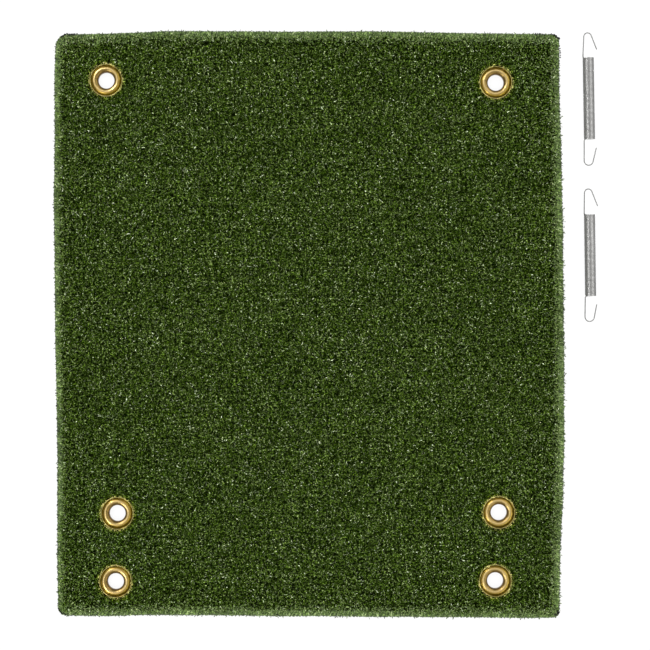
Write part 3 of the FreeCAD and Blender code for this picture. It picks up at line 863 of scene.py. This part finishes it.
# ---------------------------------------------------------------------- pile
def ribbon_paths(start, head, turn, elev0, elev1, bend_at, length, segs, tw0, tw1,
                 waves=None, knots=1.0):
    s = np.linspace(0, 1, segs + 1)[None, :] ** knots
    t = np.clip((s - bend_at[:, None]) / (1 - bend_at[:, None]), 0, 1)
    ease = t * t * (3 - 2 * t)
    elev = elev0[:, None] * (1 - ease) + elev1[:, None] * ease
    h = head[:, None] + turn[:, None] * ease
    if waves is not None:
        h = h + waves[:, 0:1] * np.sin(TAU * waves[:, 1:2] * s + waves[:, 2:3])
    d = np.stack([np.cos(elev) * np.cos(h), np.cos(elev) * np.sin(h), np.sin(elev)], -1)
    step = (length[:, None] * np.diff(s))[:, :, None] * 0.5 * (d[:, 1:] + d[:, :-1])
    p = start[:, None, :] + np.concatenate(
        [np.zeros((len(start), 1, 3)), np.cumsum(step, 1)], 1)
    side = np.stack([-np.sin(h), np.cos(h), np.zeros_like(h)], -1)
    up = np.cross(d, side)
    tw = tw0[:, None] + tw1[:, None] * s
    w = np.cos(tw)[..., None] * side + np.sin(tw)[..., None] * up
    return p, w


BANDS = 12
PER_TUFT = 24


def pile_pieces():
    """Every tuft of the pile as real curly ribbons."""
    r = np.random.default_rng(90125)
    tilt = math.radians(1.3)
    px, py = 4.67, 5.03
    ii, jj = np.meshgrid(np.arange(-62, 63), np.arange(-66, 67))
    gx = ii.ravel() * px + np.sin(jj.ravel() * 0.9) * 0.15
    gy = jj.ravel() * py
    tx = gx * math.cos(tilt) - gy * math.sin(tilt) * 1.0
    ty = gx * math.sin(tilt) * 0.3 + gy
    tufts = np.stack([tx, ty], 1) + r.normal(0, 0.30, (len(tx), 2))
    tufts = tufts[inset_of(tufts) > 6.0]
    n_t = len(tufts)
    per = np.full(n_t, PER_TUFT)
    idx = np.repeat(np.arange(n_t), per)
    n = len(idx)
    base = tufts[idx] + r.normal(0, 1.6, (n, 2))
    tuft_shade = r.normal(0, 0.05, n_t)[idx]
    tuft_head = r.uniform(0, TAU, n_t)[idx]
    head = tuft_head + r.normal(0, 2.4, n)
    turn = r.normal(0, 2.9, n)
    elev0 = np.radians(r.normal(80, 7, n).clip(60, 90))
    elev1 = np.radians(r.normal(20, 32, n).clip(-50, 80))
    bend_at = r.uniform(0.36, 0.60, n)
    length = r.normal(8.4, 1.3, n).clip(5.4, 11.2)
    # some of the blades by the edge lean out over the binding
    p_in = inset_of(base)
    out_x = HALF_W - np.abs(base[:, 0]) < HALF_D - np.abs(base[:, 1])
    outward = np.where(out_x, np.where(base[:, 0] > 0, 0.0, math.pi),
                       np.where(base[:, 1] > 0, 0.5, -0.5) * math.pi)
    leaning = (p_in < 10.5) & (r.random(n) < 0.75)
    head = np.where(leaning, outward + r.normal(0, 0.7, n), head)
    turn = np.where(leaning, r.normal(0, 1.2, n), turn)
    elev1 = np.where(leaning, np.radians(r.normal(-8, 18, n)), elev1)
    start = np.concatenate([warp(base), np.full((n, 1), 4.35)], 1)
    dist, which = near_grommet(start[:, :2])
    keep = (dist > 16.6) & (p_in > 5.7)
    sel = [a[keep] for a in (head, turn, elev0, elev1, bend_at, length)]
    start, base, p_in, dist, which = (a[keep] for a in (start, base, p_in, dist, which))
    tuft_shade = tuft_shade[keep]
    left_side = (out_x[keep]) & (base[:, 0] < 0)
    n = len(start)
    segs = 3
    waves = np.stack([r.normal(0, 0.5, n), r.uniform(0.8, 1.6, n), r.uniform(0, TAU, n)], 1)
    p, w = ribbon_paths(start, *sel, segs, r.normal(0, 0.45, n), r.normal(0, 0.9, n), waves,
                        knots=0.62)
    # cap the height, softly
    top = 10.35 + r.normal(0, 0.35, n)[:, None]
    z = p[..., 2]
    over = z > top - 0.8
    p[..., 2] = np.where(over, top - 0.8 + 0.8 * np.tanh((z - top + 0.8) / 0.8), z)
    # over a flange the blades lie on its bead, and never go in the metal
    centre = CENTRE_LIST[which]
    rel = p[..., :2] - centre[:, None]
    rad = np.linalg.norm(rel, axis=-1)
    floor_r = np.where(p[..., 2] > 7.7, (15.5 + np.abs(r.normal(0, 1.0, n)))[:, None], 16.6)
    push = np.where(rad < floor_r, floor_r / np.maximum(rad, 1e-6), 1.0)
    p[..., :2] = centre[:, None] + rel * push[..., None]
    # painted glow: how near each blade lies to a flange, for the yellow and pale gold tint
    painted_brass_glow = np.clip(1 - (rad * push - 16.2) / 4.8, 0, 1)
    # over the binding they rest on its top
    inset = np.minimum(254.0 - np.abs(p[..., 0]), 291.5 - np.abs(p[..., 1]))
    p[..., 2] = np.where((inset < 6.0) & (p[..., 2] < 6.2), 6.2, p[..., 2])
    limit = (1.7 + np.abs(r.normal(0, 1.3, n)))[:, None]
    short = np.clip(limit - inset, 0, None)
    inward_x = np.where(254.0 - np.abs(p[..., 0]) < limit, -np.sign(p[..., 0]), 0)
    inward_y = np.where(291.5 - np.abs(p[..., 1]) < limit, -np.sign(p[..., 1]), 0)
    p[..., 0] += inward_x * short * 0.85
    p[..., 1] += inward_y * short * 0.85
    s = np.linspace(0, 1, segs + 1)[None, :] ** 0.62
    wide = r.normal(0.70, 0.12, n).clip(0.42, 1.00)[:, None] * (
        0.72 + 0.28 * np.sin(np.pi * np.clip(s * 0.9 + 0.12, 0, 1))
    ) * np.where(s > 0.9, 0.62, 1.0)
    half = w * (wide / 2)[..., None]
    v = np.stack([p - half, p + half], 2)          # n, K, 2, 3
    shade = np.clip(r.beta(3.2, 4.3, n) + tuft_shade, 0, 0.90)
    # painted light: the pile near the binding is made lighter, less on the left side
    painted_light_offset = np.clip(1 - (p_in - 8.5) / 4.5, 0, 1) * np.where(left_side, 0.14, 0.30)
    shade = np.clip(shade + painted_light_offset, 0, 0.90)
    pale = (r.random(n) < 0.055) & (dist > 19.0)
    shade[pale] = r.uniform(0.93, 1.0, pale.sum())
    shade_v = np.repeat(shade, (segs + 1) * 2)
    tip_v = np.broadcast_to(s[..., None], (n, segs + 1, 2)).reshape(-1)
    v = v.reshape(n, -1, 3)
    band = np.clip(((base[:, 1] + HALF_D) / (2 * HALF_D) * BANDS).astype(int), 0, BANDS - 1)
    per_blade = (segs + 1) * 2
    painted_brass_glow_b = np.repeat(painted_brass_glow[..., None], 2, axis=2).reshape(n, per_blade)
    shade_b = shade_v.reshape(n, per_blade)
    tip_b = np.ascontiguousarray(tip_v).reshape(n, per_blade)
    for b in range(BANDS):
        pick = band == b
        k = int(pick.sum())
        obj = mesh("turf_pile_band_%02d" % (b + 1), v[pick].reshape(-1, 3),
                   strip_faces(k, segs + 1, 2),
                   {"shade": shade_b[pick], "tip": tip_b[pick], "painted_brass_glow": painted_brass_glow_b[pick]})
        give(obj, TURF)
        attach(obj, "mat")
        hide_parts("turf_pile")


# ------------------------------------------------------------------- binding
ROUND, TOP, WIDE, WALL = 1.8, 5.6, 5.5, 1.2


def section_path(shrink, count_arc=6):
    """The outside of the binding's section as (inset, height, out, up): from
    the inner end of its lower leg, round the back, to the inner end of the
    top leg. shrink pulls it in from the CAD's outside."""
    pts = []
    s, r = shrink, ROUND
    for d in (WIDE, 4.4, 3.1):
        pts.append((d, s, 0, -1))
    for a in np.linspace(0, math.pi / 2, count_arc):
        pts.append((r - (r - s) * math.sin(a), r - (r - s) * math.cos(a),
                    math.sin(a), -math.cos(a)))
    for a in np.linspace(0, math.pi / 2, count_arc):
        pts.append((r - (r - s) * math.cos(a), TOP - r + (r - s) * math.sin(a),
                    math.cos(a), math.sin(a)))
    for d in (3.1, 4.4, WIDE):
        pts.append((d, TOP - s, 0, 1))
    return np.array(pts)


def binding_core(soup, side):
    pts, out, along = edge_run(side, 2.4)
    path = section_path(0.5)
    ring = [(a, b) for a, b, _, _ in path]
    ring += [(WIDE, TOP - WALL), (3.3, TOP - WALL), (WALL, TOP - WALL), (WALL, WALL),
             (3.3, WALL), (WIDE, WALL)]
    ring = np.array(ring)
    k = len(ring)
    grid = np.zeros((len(pts), k, 3))
    grid[..., :2] = pts[:, None, :] - out[:, None, :] * ring[None, :, 0:1]
    grid[..., 2] = ring[None, :, 1]
    grid = warp(grid)
    soup.add(grid.reshape(-1, 3), strip_faces(1, len(pts), k, closed=True),
             shade=0.12, across=0.3)
    soup.add(grid[0], [np.arange(k)[None, ::-1]], shade=0.12, across=0.3)
    soup.add(grid[-1], [np.arange(k)[None]], shade=0.12, across=0.3)


def binding_strands(soup, side, r, lift, painted_light_offset):
    pts, out, along = edge_run(side, 0.6)
    total = along[-1]
    pitch = 1.15
    n = int(total / pitch)
    u0 = (np.arange(n) + 0.5) * pitch + r.normal(0, 0.22, n)
    path = section_path(0.38, 4)
    extra = np.array([[6.1, TOP - 0.75, 0, 1]])
    path = np.concatenate([path, extra])
    k = len(path)
    run = np.concatenate([[0], np.cumsum(np.linalg.norm(np.diff(path[:, :2], axis=0), axis=1))])
    q = run / run[-1]
    slant = r.normal(0.34, 0.20, n)
    u = u0[:, None] + slant[:, None] * (run[None] - run[-1] / 2) * 0.9
    u += 0.35 * np.sin(TAU * (q[None] * r.uniform(0.7, 1.6, n)[:, None] + r.random(n)[:, None]))
    u = np.clip(u, 0.05, total - 0.05)
    px = np.interp(u, along, pts[:, 0])
    py = np.interp(u, along, pts[:, 1])
    nx = np.interp(u, along, out[:, 0])
    ny = np.interp(u, along, out[:, 1])
    nn = np.hypot(nx, ny)
    nx, ny = nx / nn, ny / nn
    high = r.normal(0.46, 0.16, n).clip(0.15, 0.80)[:, None] * (
        1 + 0.25 * np.sin(TAU * (q[None] * 2.1 + r.random(n)[:, None])))
    # the underside is pressed flat by the floor
    high = np.where(path[None, :, 3] < -0.5, 0.30, high)
    half = r.normal(0.64, 0.10, n).clip(0.40, 0.86)[:, None] * np.ones(k)[None]
    half[:, 0] *= 0.5
    half[:, -1] *= 0.5
    offs = [(-1.0, -0.12, 0.0), (-0.55, 0.72, 0.7), (0.0, 1.0, 1.0), (0.55, 0.72, 0.7),
            (1.0, -0.12, 0.0)]
    verts = np.zeros((n, k, len(offs), 3))
    across = np.zeros((n, k, len(offs)))
    tx, ty = -ny, nx
    for j, (b, h, ac) in enumerate(offs):
        rise = high * h
        rise = np.where(h < 0, -0.12, rise)
        d = path[None, :, 0] - path[None, :, 2] * rise
        z = path[None, :, 1] + path[None, :, 3] * rise
        verts[:, :, j, 0] = px - nx * d + tx * half * b
        verts[:, :, j, 1] = py - ny * d + ty * half * b
        verts[:, :, j, 2] = np.maximum(z, 0.03) + (lift[0] * np.clip(z - 4.6, 0, 1))
        # painted shade: the yarn turning over the outer edge is darkened
        rim = np.where(path[None, :, 1] > 3.7, np.clip(1 - path[None, :, 0] / 2.5, 0, 1), 0)
        across[:, :, j] = ac * (1 - 0.97 * rim)
    verts = warp(verts)
    # painted light: each side's yarn is made lighter or darker for how the light falls on that side
    shade = np.clip(r.beta(1.3, 1.5, n) + painted_light_offset, 0, 0.92)
    pale = r.random(n) < 0.07
    shade[pale] = r.uniform(0.9, 1.0, pale.sum())
    soup.add(verts.reshape(-1, 3), strip_faces(n, k, len(offs)),
             shade=np.repeat(shade, k * len(offs)), across=across.ravel())
    return total


def ellipsoids(soup, centre, axes, frame_x, tag, shade, r, rings=5, cols=8):
    """Rough ellipsoids: centre (n,3), half sizes (n,3), heading of the first
    axis in the plane."""
    n = len(centre)
    lat = np.linspace(-math.pi / 2, math.pi / 2, rings + 2)
    lon = np.arange(cols) * TAU / cols
    la, lo = np.meshgrid(lat, lon, indexing="ij")
    unit = np.stack([np.sin(la), np.cos(la) * np.cos(lo), np.cos(la) * np.sin(lo)], -1)
    rough = 1 + r.normal(0, 0.10, (n,) + la.shape)
    rough[:, 0] = rough[:, -1] = 1.0
    p = unit[None] * axes[:, None, None, :] * rough[..., None]
    c, s = np.cos(frame_x)[:, None, None], np.sin(frame_x)[:, None, None]
    x = p[..., 0] * c - p[..., 1] * s
    y = p[..., 0] * s + p[..., 1] * c
    v = np.stack([x, y, p[..., 2]], -1) + centre[:, None, None]
    rows = rings + 2
    soup.add(v.reshape(-1, 3), strip_faces(n, rows, cols, closed=True), tag,
             shade=np.repeat(shade, rows * cols), across=0.8)


def binding_knots(soup, side, r, proud):
    pts, out, along = edge_run(side, 0.6)
    u = np.arange(1.7, along[-1] - 1.0, 3.4)
    n = len(u)
    u = u + r.normal(0, 0.22, n)
    x, y = np.interp(u, along, pts[:, 0]), np.interp(u, along, pts[:, 1])
    nx, ny = np.interp(u, along, out[:, 0]), np.interp(u, along, out[:, 1])
    deep = 0.15 - proud - r.normal(0, 0.12, n)
    at = warp(np.stack([x - nx * deep, y - ny * deep, r.normal(3.0, 0.25, n)], 1))
    axes = np.stack([r.normal(0.95, 0.12, n).clip(0.6, 1.3), r.normal(0.50, 0.06, n),
                     r.normal(0.75, 0.12, n)], 1)
    ellipsoids(soup, at, axes, np.arctan2(nx, -ny), 1, r.beta(2, 3, n), r)


def binding_fuzz(soup, side, r, per_mm, reach, out_share, over):
    """Loose curly filaments lying on the binding; some stand out over the edge."""
    pts, out, along = edge_run(side, 0.6)
    n = int(along[-1] * per_mm)
    spilt = int(along[-1] * over)
    n += spilt
    # the last of them are combed over on to the pile beside the binding
    on_pile = np.arange(n) >= n - spilt
    u = r.uniform(1.0, along[-1] - 1.0, n)
    x, y = np.interp(u, along, pts[:, 0]), np.interp(u, along, pts[:, 1])
    nx, ny = np.interp(u, along, out[:, 0]), np.interp(u, along, out[:, 1])
    middle = 0.35 + 0.65 * np.sin(np.pi * np.clip(u / along[-1], 0, 1))
    outward = (r.random(n) < out_share * middle) & ~on_pile
    d = np.where(outward, r.uniform(-0.2, 2.4, n), r.uniform(0.9, 6.4, n))
    z = np.where(d > 1.6, 5.55, 5.6 - (1.6 - d) * 0.9)
    d = np.where(on_pile, 5.2 + 6.6 * r.beta(1.1, 1.7, n), d)
    z = np.where(on_pile, 9.9 + r.normal(0, 0.25, n) - 1.6 * np.clip(6.6 - d, 0, 1), z)
    start = np.stack([x - nx * d, y - ny * d, z - 0.35], 1)
    away = np.arctan2(ny, nx)
    head = np.where(outward, away + r.normal(0, 0.75, n), r.uniform(0, TAU, n))
    elev0 = np.radians(np.where(outward, r.normal(35, 20, n), r.normal(48, 18, n)))
    elev0[on_pile] *= 0.35
    elev1 = np.radians(np.where(outward, r.normal(-22, 22, n), r.normal(-25, 20, n)))
    length = np.where(outward, r.uniform(1.6, reach, n), r.uniform(2.0, 4.4, n))
    segs = 6
    waves = np.stack([r.normal(0, 0.9, n), r.uniform(0.7, 1.5, n), r.uniform(0, TAU, n)], 1)
    p, w = ribbon_paths(start, head, r.normal(0, 2.4, n), elev0, elev1,
                        np.full(n, 0.15), length, segs, r.normal(0, 0.6, n),
                        r.normal(0, 1.0, n), waves)
    low = np.where(p[..., 2] < 0.2, 0.2, p[..., 2])
    p[..., 2] = np.minimum(low, np.where(on_pile, 10.9, 8.5)[:, None])
    p = warp(p)
    s = np.linspace(0, 1, segs + 1)[None]
    wide = r.normal(0.80, 0.14, n).clip(0.45, 1.1)[:, None] * (0.6 + 0.4 * np.sin(np.pi * s))
    v = np.stack([p - w * wide[..., None] / 2, p + w * wide[..., None] / 2], 2)
    shade = r.beta(2.2, 2.6, n)
    pale = r.random(n) < 0.08
    shade[pale] = 0.97
    shade[on_pile] *= 0.8
    # painted shade on the fuzz: darkest over the outer round, a little darker on the pile
    lit = np.where(on_pile, 0.50, np.where(d < 2.0, 0.10, 0.70))
    soup.add(v.reshape(-1, 3), strip_faces(n, segs + 1, 2),
             shade=np.repeat(shade, (segs + 1) * 2), across=np.repeat(lit, (segs + 1) * 2))


def raw_tape(soup, side, r, u0, u1, count, size, d0=-0.5, d1=0.5, z0=4.2, z1=5.5,
             shift=(0.0, 0.0)):
    """Cut ends of the black backing that the binding doesn't cover."""
    pts, out, along = edge_run(side, 0.6)
    u = np.linspace(u0, u1, count) + r.normal(0, 0.25, count)
    u = np.where(u < 0, along[-1] + u, u)
    x, y = np.interp(u, along, pts[:, 0]), np.interp(u, along, pts[:, 1])
    nx, ny = np.interp(u, along, out[:, 0]), np.interp(u, along, out[:, 1])
    nn = np.hypot(nx, ny)
    nx, ny = nx / nn, ny / nn
    d = r.uniform(d0, d1, count)
    at = warp(np.stack([x - nx * d + shift[0], y - ny * d + shift[1],
                        r.uniform(z0, z1, count)], 1))
    axes = np.stack([r.uniform(0.7, 1.1, count), r.uniform(0.6, 1.0, count),
                     r.uniform(0.4, 0.7, count)], 1) * size
    ellipsoids(soup, at, axes, np.arctan2(nx, -ny) + r.normal(0, 0.5, count), 2,
               np.full(count, 0.3), r, 4, 7)


def bare_tape(soup, r, line, gap, half, size, z0=6.2, z1=6.6):
    """The same black ends where they show at one place: line is its middle in
    millimetres, half how far they lie to each side."""
    line = np.array(line, float)
    step = np.hypot(*np.diff(line, axis=0).T)
    along = np.concatenate([[0], np.cumsum(step)])
    count = max(2, int(along[-1] / gap))
    u = np.linspace(0, along[-1], count)
    x = np.interp(u, along, line[:, 0]) + r.uniform(-half, half, count)
    y = np.interp(u, along, line[:, 1]) + r.uniform(-half, half, count)
    at = np.stack([x, y, r.uniform(z0, z1, count)], 1)
    axes = np.stack([r.uniform(0.8, 1.15, count), r.uniform(0.65, 1.0, count),
                     r.uniform(0.4, 0.6, count)], 1) * size
    ellipsoids(soup, at, axes, r.uniform(0, TAU, count), 2, np.full(count, 0.3), r, 4, 7)


def binding_pieces():
    plan = {
        "left": dict(seed=11, painted_light_offset=-0.05, proud=0.00, fuzz=2.8, reach=2.2, share=0.10, over=0.45),
        "right": dict(seed=12, painted_light_offset=0.09, proud=0.30, fuzz=3.2, reach=4.6, share=0.30, over=1.5),
        "back": dict(seed=13, painted_light_offset=-0.06, proud=0.00, fuzz=2.8, reach=2.2, share=0.08, over=1.4),
        "front": dict(seed=14, painted_light_offset=0.06, proud=0.12, fuzz=2.8, reach=3.0, share=0.14, over=1.3),
    }
    for side, k in plan.items():
        r = np.random.default_rng(k["seed"])
        soup = Soup()
        binding_core(soup, side)
        total = binding_strands(soup, side, r, (0.0,), k["painted_light_offset"])
        binding_knots(soup, side, r, k["proud"])
        binding_fuzz(soup, side, r, k["fuzz"], k["reach"], k["share"], k["over"])
        if side == "back":
            bare_tape(soup, r, [(-246.8, 286.9), (-244.6, 288.4), (-242.8, 289.5),
                                (-240.0, 289.9), (-231.0, 289.7)], 1.55, 0.42, 0.92)
            bare_tape(soup, r, [(227.5, 290.3), (230.0, 290.4), (236.0, 289.4)], 1.3, 0.25, 0.70)
            bare_tape(soup, r, [(243.5, 289.6), (246.0, 289.0), (248.6, 287.6)], 1.0, 0.35, 0.75)
            bare_tape(soup, r, [(248.0, 287.4), (251.0, 285.2)], 0.45, 0.55, 1.00)
        if side == "left":
            raw_tape(soup, side, r, 0.0, total, 46, 0.85, -0.25, 0.4, 4.4, 5.4)
        if side == "right":
            raw_tape(soup, side, r, 0.0, total, 18, 0.8, -0.2, 0.5, 4.4, 5.4)
            bare_tape(soup, r, [(251.4, 277.5), (251.9, 272.0), (252.0, 266.5)], 1.7, 0.35,
                      0.75, 5.0, 5.8)
        if side == "front":
            bare_tape(soup, r, [(-249.5, -284.3), (-247.8, -287.0), (-245.5, -289.2),
                                (-242.0, -290.5)], 0.8, 0.12, 0.62)
            bare_tape(soup, r, [(245.6, -290.2), (248.0, -288.6), (250.2, -286.6)], 0.26, 0.9,
                      1.05, 6.5, 7.0)
            bare_tape(soup, r, [(246.4, -291.0), (249.4, -289.6), (250.8, -288.0)], 0.35, 0.4,
                      0.85, 6.3, 6.8)
        obj = soup.build("binding_%s_overlock" % side, YARN, KNOT, RAW)
        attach(obj, "mat")
        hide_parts("binding_" + side)


# ------------------------------------------------------------------- springs
MEAN, WIRE_D, PITCH, TURNS = 5.0, 1.18, 1.2, 68
COIL = PITCH * TURNS
END_ANGLE = math.atan2(2.2, 5.0)
SPRINGS = {1: (280.75, 225.6, 0.9, +1), 2: (281.95, 68.85, 0.78, -1)}
ROLL = 8.0


def coil_piece(n):
    """A close-wound coil. Each turn's wire keeps its round section when the
    coil is pulled: the share of the pull is the same all round a section and
    grows evenly along the wire, so the turns open as a real spring's do."""
    x, y, lean, moving = SPRINGS[n]
    per_turn, around = 30, 10
    a0, a1 = END_ANGLE, TURNS * TAU - END_ANGLE
    count = int(TURNS * per_turn) + 1
    a = np.linspace(a0, a1, count)
    yy = -COIL / 2 + a / TAU * PITCH
    centre = np.stack([-MEAN * np.cos(a), yy, MEAN * np.sin(a)], 1)
    radial = np.stack([-np.cos(a), np.zeros_like(a), np.sin(a)], 1)
    tangent = np.stack([MEAN * np.sin(a), np.full_like(a, PITCH / TAU), MEAN * np.cos(a)], 1)
    tangent /= np.linalg.norm(tangent, axis=1)[:, None]
    third = np.cross(tangent, radial)
    t = np.arange(around) * TAU / around
    v = (centre[:, None] + WIRE_D / 2 * (np.cos(t)[None, :, None] * radial[:, None]
                                         + np.sin(t)[None, :, None] * third[:, None]))
    spot = (Matrix.Translation((x, y, 5.62)) @ Matrix.Rotation(math.radians(lean), 4, "Z")
            @ Matrix.Rotation(math.radians(ROLL), 4, "Y"))
    rot = np.array(spot.to_3x3())
    v = v.reshape(-1, 3) @ rot.T + np.array(spot.translation)
    caps = [np.arange(around)[None, ::-1], (np.arange(around) + (count - 1) * around)[None]]
    obj = mesh("spring_%d_coil_wire" % n, v, [strip_faces(1, count, around, closed=True)] + caps)
    weld(obj, dist=1e-9)
    give(obj, WIRE)
    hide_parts("spring_%d_coil" % n)
    ends = [Vector(spot @ Vector((0, s * COIL / 2, 0))) * MM for s in (-moving, moving)]
    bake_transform(obj, "spring_%d" % n, "spring_%d_hook" % n, ends[0], ends[1])
    share = (a - a0) / (a1 - a0)
    if moving < 0:
        share = 1 - share
    share = np.repeat(share, around)
    weights = obj.data.attributes["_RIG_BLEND"]
    if len(weights.data) == len(share):
        weights.data.foreach_set("value", share.astype(np.float32))
    return obj


# --------------------------------------------------------------------- build
primary_piece(base_piece())
thatch_piece()
pile_pieces()
binding_pieces()
coil_piece(1)
coil_piece(2)

# ------------------------------------------------------ floor, light, camera
floor_mesh = bpy.data.meshes.new("floor")
floor_mesh.from_pydata([(-4, -4, 0), (4, -4, 0), (4, 4, 0), (-4, 4, 0)], [], [(0, 1, 2, 3)])
floor = bpy.data.objects.new("floor", floor_mesh)
bpy.context.scene.collection.objects.link(floor)
floor.location.z = -0.0002
fm, fnt, fs, fwhere = material("studio_floor")
fs.inputs["Base Color"].default_value = (0.12, 0.12, 0.12, 1)
fs.inputs["Roughness"].default_value = 0.9
fs.inputs["Specular IOR Level"].default_value = 0.1
fs.inputs["Emission Color"].default_value = (1, 1, 1, 1)
fs.inputs["Emission Strength"].default_value = 0.87
give(floor, fm)


def softbox(name, centre, target, size, power, tint=(1, 1, 1)):
    data = bpy.data.lights.new(name, "AREA")
    data.shape, data.size, data.size_y = "RECTANGLE", size[0], size[1]
    data.energy, data.color = power, tint
    lamp = bpy.data.objects.new(name, data)
    bpy.context.scene.collection.objects.link(lamp)
    lamp.location = centre
    aim = Vector(target) - Vector(centre)
    lamp.rotation_euler = aim.to_track_quat("-Z", "Y").to_euler()
    lamp.visible_camera = False


for word, y in (("back", 1.6), ("front", -1.6)):
    softbox("right_" + word, (2.3, y, 1.9), (0.1, 0, 0), (2.8, 1.8), 44)
    softbox("left_" + word, (-1.45, y, 1.9), (0.1, 0, 0), (0.60, 1.8), 36)

world = bpy.data.worlds.new("studio")
bpy.context.scene.world = world
world.use_nodes = True
wnt = world.node_tree
sky = wnt.nodes["Background"]
direction = wnt.nodes.new("ShaderNodeTexCoord").outputs["Generated"]
parts = wnt.nodes.new("ShaderNodeSeparateXYZ")
wnt.links.new(direction, parts.inputs[0])
shadeup = ramp(wnt, parts.outputs["Z"], [
    (0.0, grey(0.80)), (0.35, grey(0.95)), (0.80, grey(1.0)), (0.95, grey(0.80)),
    (1.0, grey(0.70))])
wnt.links.new(shadeup, sky.inputs["Color"])
sky.inputs["Strength"].default_value = 1.0

view = bpy.context.scene.view_settings
view.view_transform = "Standard"
view.look = "None"
view.exposure = 0.0
view.gamma = 1.0

cam_data = bpy.data.cameras.new("camera")
cam_data.lens, cam_data.sensor_width = 100.0, 36.0
cam_data.clip_start, cam_data.clip_end = 0.05, 20.0
cam = bpy.data.objects.new("camera", cam_data)
bpy.context.scene.collection.objects.link(cam)
cam.location = (0.017, -0.001, 0.005 + 0.650 * 100.0 / 36.0)
cam.rotation_euler = (0, 0, 0)
bpy.context.scene.camera = cam
